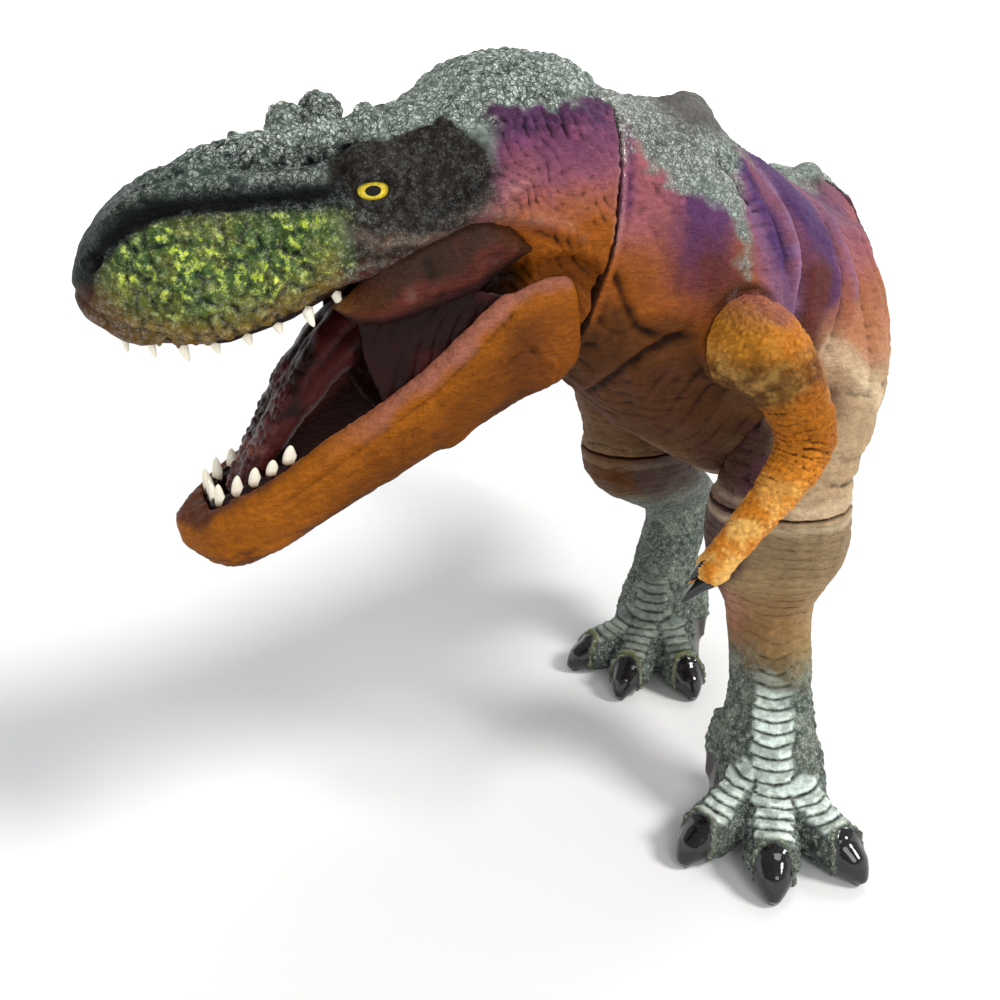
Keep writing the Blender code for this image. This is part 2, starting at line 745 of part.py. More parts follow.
def make_jaw(material):
    rows = []
    for forward, rim, bottom, half in JAW_SHARES:
        middle = (rim + bottom) / 2
        size = (rim - bottom) / 2
        rows.append((0, -forward * JAW_LENGTH, middle * JAW_DEPTH, half * JAW_WIDTH,
                     size * JAW_DEPTH, size * JAW_DEPTH))
    jaw = loft("jaw_shell", smooth_rows(rows, 2), BODY_SIDES, squareness=JAW_SQUARENESS,
               level=(0, -1, 0))
    keep_front(jaw)
    # The two arms of the jaw stand open between them, and its chin has a floor
    inside = [(-CUT_OVERRUN, jaw_inner_half(0), -2 * JAW_DEPTH, HEAD_HEIGHT)]
    for forward in jaw_stations(0, JAW_OPEN_END):
        inside.append((forward, jaw_inner_half(forward), -2 * JAW_DEPTH, HEAD_HEIGHT))
    for forward in jaw_stations(JAW_OPEN_END + LINING_WALL, FLOOR_END):
        floor = jaw_value(forward, 1) - FLOOR_DEPTH
        inside.append((forward, jaw_inner_half(forward), floor, HEAD_HEIGHT))
    cut(jaw, box_loft("jaw_inside", inside))
    cut_hinge_bore(jaw)
    place_in_head(jaw)
    jaw.data.materials.append(material)
    return jaw


def make_lower_teeth(material):
    inset = SEAT_GAP + GUM_WIDTH / 2
    forwards = list(np.linspace(JAW_OPEN_END + GUM_WIDTH, FLOOR_END - inset, 6))
    halves = [jaw_inner_half(forward) - inset * LOWER_SIDE_SHARE for forward in forwards]
    path = horseshoe(forwards, halves, 2 * LOWER_TOOTH_COUNT + 2)
    tops = jaw_value(path[:, 1], 1)
    bottoms = jaw_value(path[:, 1] - GUM_WIDTH / 2, 1) - FLOOR_DEPTH + SEAT_GAP
    return make_teeth("lower_teeth", path, bottoms, tops, LOWER_TOOTH_LENGTH, True, material)


# Mouth lining: a trough between the jaw's two arms whose cheeks rise inside the head


def make_lining(material):
    outer = []
    inner = []
    for forward in jaw_stations(LINING_START, LINING_REACH):
        half = jaw_inner_half(forward) - SEAT_GAP
        bottom = jaw_value(forward, 2) + LINING_WALL
        top = -HINGE_DROP + (forward + HINGE_BACK) * math.tan(LINING_SLOPE)
        outer.append((forward, half, bottom, top))
        inner.append((forward, half - LINING_WALL, bottom + LINING_WALL, HEAD_HEIGHT))
    lining = box_loft("mouth_lining", outer)
    inner[0] = (inner[0][0] - CUT_OVERRUN, *inner[0][1:])
    inner[-1] = (inner[-1][0] + CUT_OVERRUN, *inner[-1][1:])
    cut(lining, box_loft("trough", inner))
    reach = hinge_cylinder("reach", LINING_REACH, -JAW_WIDTH, JAW_WIDTH, REACH_SIDES)
    combine(lining, reach, "INTERSECT")
    place_in_head(lining)
    lining.data.materials.append(material)
    return lining


# Forward in jaw lengths, up in jaw depths, half width in tongue widths, thickness in tongue thicknesses
TONGUE_SHARES = (
    (0.190, -0.510, 0.34, 0.45),
    (0.195, -0.320, 0.42, 0.50),
    (0.240, -0.170, 0.46, 0.52),
    (0.340, -0.095, 0.50, 0.54),
    (0.450, -0.110, 0.50, 0.54),
    (0.550, -0.220, 0.48, 0.52),
    (0.655, -0.410, 0.48, 0.48),
    (0.745, -0.620, 0.46, 0.44),
    (0.815, -0.765, 0.36, 0.36),
    (0.860, -0.835, 0.18, 0.22),
)


TONGUE_SQUARENESS = 0.8


def make_tongue(material):
    rows = []
    for forward, upward, half, thick in TONGUE_SHARES:
        rows.append((0, -forward * JAW_LENGTH, upward * JAW_DEPTH, half * TONGUE_WIDTH,
                     thick * TONGUE_THICKNESS, thick * TONGUE_THICKNESS))
    tongue = loft("tongue", smooth_rows(rows, 2), LIMB_SIDES, squareness=TONGUE_SQUARENESS)
    place_in_head(tongue)
    tongue.data.materials.append(material)
    return tongue


# Arms

# Outward, forward and up in arm lengths, radius in arm thicknesses
ARM_SHARES = (
    (0.000, 0.000, 0.000, 1.00),
    (0.090, 0.000, -0.005, 0.97),
    (0.175, -0.020, -0.065, 0.86),
    (0.245, -0.075, -0.200, 0.70),
    (0.280, -0.120, -0.380, 0.62),
    (0.265, -0.030, -0.540, 0.52),
    (0.230, 0.110, -0.700, 0.43),
    (0.185, 0.240, -0.860, 0.35),
    (0.160, 0.320, -0.950, 0.38),
    (0.150, 0.360, -1.000, 0.20),
)
# Sideways in claw radii from the hand's middle
HAND_SPREAD_SHARES = (-1.1, 1.1)
# Inward and down in claw lengths, radius in claw radii
HAND_CLAW_SHARES = ((0.0, 0.0, 1.0), (0.5, 0.45, 0.85), (1.0, 0.75, 0.15))


def make_arm(name, mirror, raise_angle, material):
    seam = shoulder_seam(mirror)
    outward = SHOULDER_OUT * mirror
    turn = Matrix.Rotation(-raise_angle, 3, SHOULDER_OUT)

    def arm_point(out, ahead, upward):
        local = outward * out + SHOULDER_FORWARD * ahead + Vector((0, 0, upward))
        return seam + turn @ local

    rows = []
    for out, ahead, upward, radius in ARM_SHARES:
        centre = arm_point(out * ARM_LENGTH, ahead * ARM_LENGTH, upward * ARM_LENGTH)
        size = radius * ARM_THICKNESS
        rows.append((*centre, size, size, size))
    arm = loft(name, smooth_rows(rows, 2), LIMB_SIDES, side=turn @ SHOULDER_FORWARD, first=outward)
    keep_side(arm, seam + outward * SEAM_GAP, outward)
    palm = ARM_SHARES[-2]
    for sideways in HAND_SPREAD_SHARES:
        start = arm_point(palm[0] * ARM_LENGTH, palm[1] * ARM_LENGTH + sideways * HAND_CLAW_RADIUS,
                          palm[2] * ARM_LENGTH)
        claw = []
        for inward, down, share in HAND_CLAW_SHARES:
            centre = start + turn @ (outward * -inward + Vector((0, 0, -down))) * HAND_CLAW_LENGTH
            size = share * HAND_CLAW_RADIUS
            claw.append((*centre, size, size, size))
        join(arm, loft("hand_claw", claw, SMALL_SIDES, side=SHOULDER_FORWARD))
    cut_socket(arm, *shoulder_plug(mirror))
    arm.data.materials.append(material)
    return arm


# Lower legs

# Share of the way from knee to hock, back shift in knee widths, half width, back and front in knee widths
LEFT_CALF_SHARES = (
    (0.30, 0.02, 0.54, 0.54, 0.50),
    (0.65, 0.00, 0.51, 0.50, 0.52),
)
RIGHT_CALF_SHARES = (
    (0.25, -0.16, 0.53, 0.56, 0.68),
    (0.60, -0.22, 0.50, 0.58, 0.72),
)
# Back in toe lengths, height in hock heights, half width, back and front in ankle widths
LEFT_HOCK_SHARES = (0.46, 1.00, 0.56, 0.50, 0.70)
RIGHT_HOCK_SHARES = (0.44, 1.00, 0.54, 0.55, 1.20)
# The same below the hock, alike on both legs
SHANK_SHARES = (
    (0.25, 0.80, 0.53, 0.46, 0.66),
    (0.04, 0.62, 0.54, 0.44, 0.56),
    (-0.14, 0.39, 0.66, 0.52, 0.52),
    (-0.18, 0.16, 0.76, 0.62, 0.62),
)
# Along the toe in toe lengths, height, half width and half height in toe widths
TOE_SHARES = (
    (0.05, 0.72, 0.50, 0.48),
    (0.35, 0.56, 0.48, 0.48),
    (0.60, 0.42, 0.44, 0.44),
    (0.75, 0.38, 0.44, 0.42),
    (0.79, 0.35, 0.36, 0.35),
    (0.90, 0.26, 0.28, 0.28),
    (1.00, 0.08, 0.09, 0.10),
)
TOE_SPREAD = math.radians(41)
# Direction in toe spreads and length in toe lengths, of each front toe
TOE_FAN_SHARES = ((-1.0, 0.95), (0.0, 1.0), (1.0, 0.95))
TOE_ROOT_SHARE = 0.16
SOLE_DIP_SHARE = 0.125
# Sideways in ankle widths, back in toe lengths and up in hock heights
DEWCLAW_ROOT_SHARES = (-0.40, 0.03, 0.46)
# Sideways, forward and down in dewclaw lengths
DEWCLAW_WAY_SHARES = (-0.42, 0.30, 0.86)
# Along in dewclaw lengths and radius in toe widths
DEWCLAW_SHARES = ((0.0, 0.40), (0.35, 0.36), (0.62, 0.28), (0.68, 0.20), (1.0, 0.05))


def make_leg(name, mirror, material):
    foot_x = LEFT_FOOT_X if mirror > 0 else RIGHT_FOOT_X
    foot_y = LEFT_FOOT_Y if mirror > 0 else RIGHT_FOOT_Y
    yaw = LEFT_FOOT_YAW if mirror > 0 else RIGHT_FOOT_YAW
    place = Matrix.Translation((foot_x, foot_y, 0)) @ Matrix.Rotation(yaw, 4, "Z")
    knee = knee_seam(mirror) - Vector((0, 0, SEAM_GAP))
    hock_shares = LEFT_HOCK_SHARES if mirror > 0 else RIGHT_HOCK_SHARES
    hock = place @ Vector((0, hock_shares[0] * TOE_LENGTH, HOCK_HEIGHT))
    half = KNEE_WIDTH / 2
    rows = [(*knee, half, half, half)]
    for along, back, wide, behind, before in LEFT_CALF_SHARES if mirror > 0 else RIGHT_CALF_SHARES:
        centre = knee.lerp(hock, along) + Vector((0, back * KNEE_WIDTH, 0))
        rows.append((*centre, wide * KNEE_WIDTH, behind * KNEE_WIDTH, before * KNEE_WIDTH))
    for back, upward, wide, behind, before in (hock_shares, *SHANK_SHARES):
        centre = place @ Vector((0, back * TOE_LENGTH, upward * HOCK_HEIGHT))
        rows.append((*centre, wide * ANKLE_WIDTH, behind * ANKLE_WIDTH, before * ANKLE_WIDTH))
    base = rows[-1]
    rows.append((base[0], base[1], -SOLE_DEPTH, *base[3:]))
    leg = loft(name, smooth_rows(rows, 2), LIMB_SIDES, level=(0, 0, -1))
    root = Vector((0, -TOE_ROOT_SHARE * TOE_LENGTH, 0))
    for turn, reach in TOE_FAN_SHARES:
        angle = turn * TOE_SPREAD * mirror
        ahead = Vector((math.sin(angle), -math.cos(angle), 0))
        toe = []
        for along, upward, wide, tall in TOE_SHARES:
            centre = place @ (root + ahead * along * reach * TOE_LENGTH * (1 - TOE_ROOT_SHARE)
                              + Vector((0, 0, upward * TOE_WIDTH)))
            rise = tall * TOE_WIDTH
            toe.append((*centre, wide * TOE_WIDTH, rise, rise + SOLE_DIP_SHARE * SOLE_DEPTH))
        join(leg, loft("toe", smooth_rows(toe, 2), LIMB_SIDES, side=ahead.cross(Vector((0, 0, 1)))))
    sideways, back, upward = DEWCLAW_ROOT_SHARES
    start = Vector((sideways * ANKLE_WIDTH * mirror, back * TOE_LENGTH, upward * HOCK_HEIGHT))
    sideways, forward, down = DEWCLAW_WAY_SHARES
    way = Vector((sideways * mirror, -forward, -down)) * DEWCLAW_LENGTH
    dewclaw = []
    for along, size in DEWCLAW_SHARES:
        centre = start + way * along
        radius = size * TOE_WIDTH
        dewclaw.append((*(place @ centre), radius, radius, radius))
    join(leg, loft("dewclaw", dewclaw, SMALL_SIDES))
    keep_side(leg, (0, 0, 0), (0, 0, 1))
    cut_socket(leg, *knee_plug(mirror))
    leg.data.materials.append(material)
    return leg


# Tail

# Sideways in tail sweeps, back in tail reaches, up in tail rises, radius in tail root widths
TAIL_SHARES = (
    (0.000, 0.00, 0.00, 0.500),
    (0.060, 0.32, 0.08, 0.410),
    (0.190, 0.63, 0.22, 0.310),
    (0.385, 0.87, 0.42, 0.225),
    (0.610, 0.98, 0.63, 0.150),
    (0.820, 1.00, 0.82, 0.085),
    (1.000, 0.95, 1.00, 0.025),
)


def make_tail(material):
    rows = []
    for sideways, back, upward, radius in TAIL_SHARES:
        centre = TAIL_SEAM + Vector((-sideways * TAIL_WIDTH_SWEPT, back * TAIL_LENGTH, upward * TAIL_RISE))
        size = radius * TAIL_ROOT_WIDTH
        rows.append((*centre, size, size, size))
    rows[0] = (*(TAIL_SEAM + TAIL_AXIS * SEAM_GAP), *rows[0][3:])
    tail = loft("tail", smooth_rows(rows, 3), LIMB_SIDES, side=None, first=TAIL_AXIS)
    cut_socket(tail, *TAIL_PLUG)
    tail.data.materials.append(material)
    return tail


# Assembly

def set_pivot(items, name, pivot, parent):
    # The pieces of one moving part hang from an empty on their joint's axis
    empty = bpy.data.objects.new(name, None)
    bpy.context.scene.collection.objects.link(empty)
    parent_place = parent.matrix_world.translation if parent else Vector((0, 0, 0))
    empty.parent = parent
    empty.location = pivot - parent_place
    bpy.context.view_layer.update()
    for item in items:
        item.data.transform(Matrix.Translation(-pivot))
        item.parent = empty
        item.data.shade_smooth()
        item.data.set_sharp_from_angle(angle=SHARP_ANGLE)
    return empty


def centre_on_floor(root, items):
    # The origin is the middle of the figure's outline on the floor
    bpy.context.view_layer.update()
    corners = [item.matrix_world @ vertex.co for item in items for vertex in item.data.vertices]
    for axis in (0, 1):
        values = [corner[axis] for corner in corners]
        root.location[axis] -= (min(values) + max(values)) / 2
    bpy.context.view_layer.update()


def build():
    clear_scene()
    body_skin = make_material("body_vinyl", (0.42, 0.25, 0.24), 0.45)
    head_skin = make_material("head_vinyl", (0.12, 0.16, 0.12), 0.42)
    jaw_skin = make_material("jaw_vinyl", (0.55, 0.25, 0.05), 0.42)
    arm_skin = make_material("arm_vinyl", (0.66, 0.33, 0.07), 0.45)
    leg_skin = make_material("leg_vinyl", (0.34, 0.30, 0.22), 0.50)
    tail_skin = make_material("tail_vinyl", (0.26, 0.22, 0.25), 0.48)
    mouth_skin = make_material("mouth_vinyl", (0.09, 0.015, 0.015), 0.30)
    tooth_skin = make_material("tooth_vinyl", (0.80, 0.74, 0.60), 0.35)
    eye_skin = make_material("eye_plastic", (0.75, 0.60, 0.06), 0.15)
    plug_skin = make_material("plug_plastic", (0.10, 0.10, 0.10), 0.55)
    torso = [make_torso(body_skin)]
    head = [make_head(head_skin), make_palate(mouth_skin), make_upper_teeth(tooth_skin),
            make_eye("left_eye", 1, eye_skin), make_eye("right_eye", -1, eye_skin),
            make_hinge_pin(plug_skin), make_plug("neck_plug", *NECK_PLUG, plug_skin)]
    jaw = [make_jaw(jaw_skin), make_lining(mouth_skin), make_lower_teeth(tooth_skin),
           make_tongue(mouth_skin)]
    tail = [make_tail(tail_skin), make_plug("tail_plug", *TAIL_PLUG, plug_skin)]
    root = set_pivot(torso, "figure", Vector((0, 0, 0)), None)
    neck = set_pivot(head, "neck_swivel", NECK_SEAM, root)
    set_pivot(jaw, "jaw_hinge", JAW_HINGE, neck)
    set_pivot(tail, "tail_swivel", TAIL_SEAM, root)
    pieces = torso + head + jaw + tail
    for label, mirror, raise_angle in (("left", 1, 0.0), ("right", -1, RIGHT_ARM_RAISE)):
        arm = [make_arm(label + "_arm", mirror, raise_angle, arm_skin),
               make_plug(label + "_shoulder_plug", *shoulder_plug(mirror), plug_skin)]
        set_pivot(arm, label + "_shoulder_swivel", shoulder_seam(mirror), root)
        leg = [make_leg(label + "_leg", mirror, leg_skin),
               make_plug(label + "_knee_plug", *knee_plug(mirror), plug_skin)]
        set_pivot(leg, label + "_knee_swivel", knee_seam(mirror), root)
        pieces += arm + leg
    centre_on_floor(root, pieces)


build()
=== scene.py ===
import json
import math

import bmesh
import bpy
import numpy as np
from mathutils import Matrix, Vector


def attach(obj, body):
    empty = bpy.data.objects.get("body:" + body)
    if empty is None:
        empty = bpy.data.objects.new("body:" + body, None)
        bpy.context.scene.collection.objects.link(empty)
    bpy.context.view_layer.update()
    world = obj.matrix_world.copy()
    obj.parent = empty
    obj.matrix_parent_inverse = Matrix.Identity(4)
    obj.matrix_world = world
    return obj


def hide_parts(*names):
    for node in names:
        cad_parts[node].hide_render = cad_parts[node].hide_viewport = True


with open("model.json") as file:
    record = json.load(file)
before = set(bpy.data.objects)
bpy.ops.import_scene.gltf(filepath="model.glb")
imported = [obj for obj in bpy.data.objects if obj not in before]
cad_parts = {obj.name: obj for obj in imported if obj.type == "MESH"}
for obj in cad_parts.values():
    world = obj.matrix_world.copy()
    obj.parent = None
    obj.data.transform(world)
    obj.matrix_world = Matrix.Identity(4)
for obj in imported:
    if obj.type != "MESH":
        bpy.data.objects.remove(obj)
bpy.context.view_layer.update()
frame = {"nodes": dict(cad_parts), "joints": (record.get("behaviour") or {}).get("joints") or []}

# The figure stands on z = 0, looks along -Y and has its left side at +X. Feature sizes are in millimetres.
millimetre = 0.001
joints = {joint["name"]: joint for joint in frame["joints"]}
tailSeat = np.array((-8.0, 128.0, 215.0))  # the tail seam in the figure's own millimetres
ownOrigin = np.array(joints["tail_swivel"]["pos_m"]) - tailSeat * millimetre
coarse = 1.0


# Arithmetic on whole arrays of points

def soft(values, low, high):
    # 0 below low and 1 above high, with a cubic ramp between
    share = np.clip((values - low) / (high - low), 0, 1)
    return share * share * (3 - 2 * share)


def bell(values, width):
    # 1 in the middle, falling off as exp(-(value / width) squared)
    return np.exp(-(values / width) ** 2)


def latticeValues(x, y, z, seed):
    # A fixed scattered number from -1 to 1 for each corner of a lattice
    mixed = (x * 73856093) ^ (y * 19349663) ^ (z * 83492791) ^ (seed * 40503 + 977)
    mixed = (mixed & 0xFFFFFFFF)
    mixed = ((mixed ^ (mixed >> 13)) * 1274126177) & 0xFFFFFFFF
    mixed = mixed ^ (mixed >> 16)
    return (mixed & 0xFFFFFF) / 0x7FFFFF - 1.0


def noise(points, size, seed=0, octaves=1):
    # Corner numbers blended with a quintic ramp; each octave has half the size and half the strength
    total = np.zeros(len(points))
    strength = 1.0
    for octave in range(octaves):
        scaled = points / size * 2 ** octave + 31.7 * octave
        base = np.floor(scaled).astype(np.int64)
        part = scaled - base
        ramp = part ** 3 * (part * (part * 6 - 15) + 10)
        value = np.zeros(len(points))
        for corner in range(8):
            offset = np.array((corner & 1, corner >> 1 & 1, corner >> 2))
            weight = np.prod(np.where(offset, ramp, 1 - ramp), axis=1)
            x, y, z = (base + offset).T
            value += weight * latticeValues(x, y, z, seed + octave)
        total += value * strength
        strength *= 0.5
    return total


def cells(points, size, seed=0):
    # Distances to the nearest and the second nearest of scattered centres, in cell sizes
    scaled = points / size
    base = np.floor(scaled).astype(np.int64)
    nearest = np.full(len(points), 9.0)
    second = np.full(len(points), 9.0)
    for step in range(27):
        offset = np.array((step % 3, step // 3 % 3, step // 9)) - 1
        x, y, z = (base + offset).T
        jitter = np.stack([latticeValues(x, y, z, seed + axis) for axis in range(3)], axis=1)
        centre = base + offset + 0.5 + 0.42 * jitter
        gap = np.linalg.norm(scaled - centre, axis=1)
        second = np.minimum(second, np.maximum(nearest, gap))
        nearest = np.minimum(nearest, gap)
    return nearest, second


def pebbles(points, size, seed=0):
    # Rounded grains: 1 on a grain's top and 0 in the crack between two grains
    nearest, second = cells(points, size, seed)
    return soft(second - nearest, 0.0, 0.55)


def rounded(line, rounds=2):
    # Cuts the corners of a run of straight pieces at a quarter and three quarters of each piece
    line = np.array(line, float)
    for turn in range(rounds if len(line) > 2 else 0):
        first, second = line[:-1], line[1:]
        cut = np.stack([first * 0.75 + second * 0.25, first * 0.25 + second * 0.75], axis=1)
        line = np.concatenate([line[:1], cut.reshape(-1, line.shape[1]), line[-1:]])
    return line


def toLine(points, line):
    # Distance to a rounded line, and the share of the line at the nearest place
    line = rounded(line)
    lengths = np.linalg.norm(np.diff(line, axis=0), axis=1)
    total, run = lengths.sum(), 0.0
    best, share = np.full(len(points), 1e9), np.zeros(len(points))
    for start, step, length in zip(line[:-1], np.diff(line, axis=0), lengths):
        along = np.clip((points - start) @ step / length ** 2, 0, 1)
        gap = np.linalg.norm(points - start - along[:, None] * step, axis=1)
        closer = gap < best
        best = np.where(closer, gap, best)
        share = np.where(closer, (run + along * length) / total, share)
        run += length
    return best, share


def crease(points, line, width, depth):
    # A groove of bell section along a line, fading at both ends; a negative depth is a raised fold
    gap, share = toLine(points, line)
    fade = np.sqrt(np.clip(np.minimum(share, 1 - share) * 6 + 0.05, 0, 1))
    return -depth * bell(gap, width) * fade


def creases(points, rows):
    # The sum of several grooves and folds, each given as line, width and depth
    return sum(crease(points, line, width, depth) for line, width, depth in rows)


def wrinkles(phase, points, spacing, seed, drift=0.45):
    # Parallel wrinkles: a sharp valley wherever the phase, pushed about by noise, meets a whole number
    pushed = phase / spacing + drift * noise(points, spacing * 3.2, seed, 2)
    valley = np.abs((pushed % 1.0) - 0.5) * 2
    broken = 0.6 + 0.4 * noise(points, spacing * 2.2, seed + 5)
    return -(1 - np.clip(valley * 2.4, 0, 1) ** 0.7) * broken


# Colours of the paints, typed as a paint maker's 0 to 255 values

def tint(red, green, blue):
    share = np.array((red, green, blue)) / 255
    return np.where(share <= 0.04045, share / 12.92, ((share + 0.055) / 1.055) ** 2.4)


paints = {
    "greyTop": tint(124, 138, 129), "greyPale": tint(206, 217, 208), "greyDark": tint(60, 70, 66),
    "snoutGreen": tint(34, 58, 48), "stripe": tint(9, 14, 12), "lime": tint(190, 212, 34),
    "leaf": tint(52, 84, 26), "olive": tint(96, 98, 30), "lipOchre": tint(120, 88, 22),
    "eyeBand": tint(26, 17, 15), "purple": tint(78, 46, 78), "mauve": tint(128, 74, 92),
    "rose": tint(150, 86, 94), "salmon": tint(152, 86, 56), "orange": tint(146, 78, 14),
    "ochre": tint(150, 84, 8), "deepOchre": tint(104, 54, 4), "brown": tint(76, 38, 12),
    "cheek": tint(92, 74, 62), "cheekFoldHighlight": tint(136, 112, 98), "cheekDark": tint(48, 34, 24),
    "maroon": tint(92, 42, 34), "plum": tint(108, 58, 90), "chest": tint(86, 52, 22),
    "mouthDark": tint(30, 9, 8), "mouthRed": tint(66, 20, 18), "rim": tint(158, 100, 86),
    "violet": tint(70, 40, 92), "lilac": tint(126, 92, 128), "pink": tint(176, 120, 110),
    "peach": tint(176, 118, 82), "tan": tint(176, 150, 116), "shin": tint(168, 138, 96),
    "knee": tint(138, 116, 84),
    "cream": tint(236, 216, 180), "footGreen": tint(72, 82, 72), "footPale": tint(140, 148, 132),
    "mint": tint(222, 238, 230), "black": tint(10, 9, 10), "armOrange": tint(206, 128, 36),
    "armYellow": tint(234, 184, 100), "belly": tint(86, 50, 20), "paintedShade": tint(80, 60, 56),
    "darkSeam": tint(22, 14, 14), "humpGrey": tint(78, 73, 72), "ivory": tint(236, 228, 208),
    "ivoryRoot": tint(150, 116, 76),
    "pale": tint(220, 204, 186),
}


def over(colour, name, mask):
    # Lays one paint over what is there, as thickly as the mask says
    return colour + (paints[name] - colour) * np.clip(mask, 0, 1)[:, None]


# Shader trees: a wire is one socket, so that masks are written as sums and products

class Wire:
    def __init__(self, finish, socket):
        self.finish, self.socket = finish, socket

    def sum(self, operation, first, second):
        return self.finish.node("ShaderNodeMath", {"operation": operation}, {0: first, 1: second})

    def __add__(self, other):
        return self.sum("ADD", self, other)

    def __radd__(self, other):
        return self.sum("ADD", other, self)

    def __sub__(self, other):
        return self.sum("SUBTRACT", self, other)

    def __rsub__(self, other):
        return self.sum("SUBTRACT", other, self)

    def __mul__(self, other):
        return self.sum("MULTIPLY", self, other)

    def __rmul__(self, other):
        return self.sum("MULTIPLY", other, self)

    def __pow__(self, other):
        return self.sum("POWER", self, other)

    def ramp(self, low, high):
        # 0 below low, 1 above high
        return self.finish.node("ShaderNodeMapRange", {"interpolation_type": "SMOOTHSTEP", "clamp": True},
                                {"Value": self, "From Min": low, "From Max": high})


class Finish:
    # One material's tree, with short calls for its nodes
    def __init__(self, name):
        self.material = bpy.data.materials.new(name)
        self.material.use_nodes = True
        self.tree = self.material.node_tree
        self.tree.nodes.clear()
        self.surface = self.tree.nodes.new("ShaderNodeBsdfPrincipled")
        output = self.tree.nodes.new("ShaderNodeOutputMaterial")
        self.tree.links.new(self.surface.outputs[0], output.inputs[0])
        place = self.tree.nodes.new("ShaderNodeTexCoord")
        self.place = Wire(self, place.outputs["Object"])
        # The same place pushed about by a fine cloud, so that grains get ragged outlines
        cloud = self.node("ShaderNodeTexNoise", {}, {"Vector": self.place, "Scale": 420.0, "Detail": 2.0}, 1)
        push = self.node("ShaderNodeVectorMath", {"operation": "MULTIPLY_ADD"},
                         {0: cloud, 1: (0.0026, 0.0026, 0.0026), 2: self.place})
        self.ragged = push

    def feed(self, socket, value):
        if isinstance(value, Wire):
            self.tree.links.new(value.socket, socket)
        elif hasattr(value, "__len__") and len(value) == 3 and socket.type == "RGBA":
            socket.default_value = (*value, 1.0)
        else:
            socket.default_value = value

    def node(self, kind, settings, inputs, output=0):
        made = self.tree.nodes.new(kind)
        for name, value in settings.items():
            setattr(made, name, value)
        for name, value in inputs.items():
            self.feed(made.inputs[name], value)
        return Wire(self, made.outputs[output])

    def attribute(self, name, output="Fac"):
        return self.node("ShaderNodeAttribute", {"attribute_name": name}, {}, output)

    def noise(self, size, detail=3.0, roughness=0.6, stretch=None):
        # Cloudy noise whose blotches are about size millimetres across
        place = self.place
        if stretch:
            place = self.node("ShaderNodeMapping", {}, {"Vector": place, "Scale": stretch})
        inputs = {"Vector": place, "Scale": 1 / (size * millimetre), "Detail": detail, "Roughness": roughness}
        return self.node("ShaderNodeTexNoise", {}, inputs)

    def grains(self, size, feature="F1"):
        # Distance to the nearest of scattered centres about size millimetres apart
        inputs = {"Vector": self.ragged, "Scale": 1 / (size * millimetre)}
        return self.node("ShaderNodeTexVoronoi", {"feature": feature}, inputs)

    def plates(self, size):
        # 1 on a small skin plate and 0 in the crack round it
        return self.grains(size, "DISTANCE_TO_EDGE").ramp(0.015, 0.16)

    def mix(self, factor, first, second, blend="MIX"):
        made = self.tree.nodes.new("ShaderNodeMix")
        made.data_type, made.blend_type = "RGBA", blend
        for socket, value in zip((made.inputs[0], made.inputs[6], made.inputs[7]), (factor, first, second)):
            self.feed(socket, value)
        return Wire(self, made.outputs[2])

    def bump(self, height, depth, strength=1.0):
        inputs = {"Height": height, "Distance": depth * millimetre, "Strength": strength}
        return self.node("ShaderNodeBump", {}, inputs)

    def shine(self, **inputs):
        for name, value in inputs.items():
            self.feed(self.surface.inputs[name.replace("_", " ")], value)
        return self.material


skinFinish = {"plateSize": 1.9, "crumbSize": 0.95, "fineSize": 0.8, "depth": 0.45, "roughness": 0.52,
              "specular": 0.10, "leatherSize": 1.7,
              "creaseSize": 3.6}


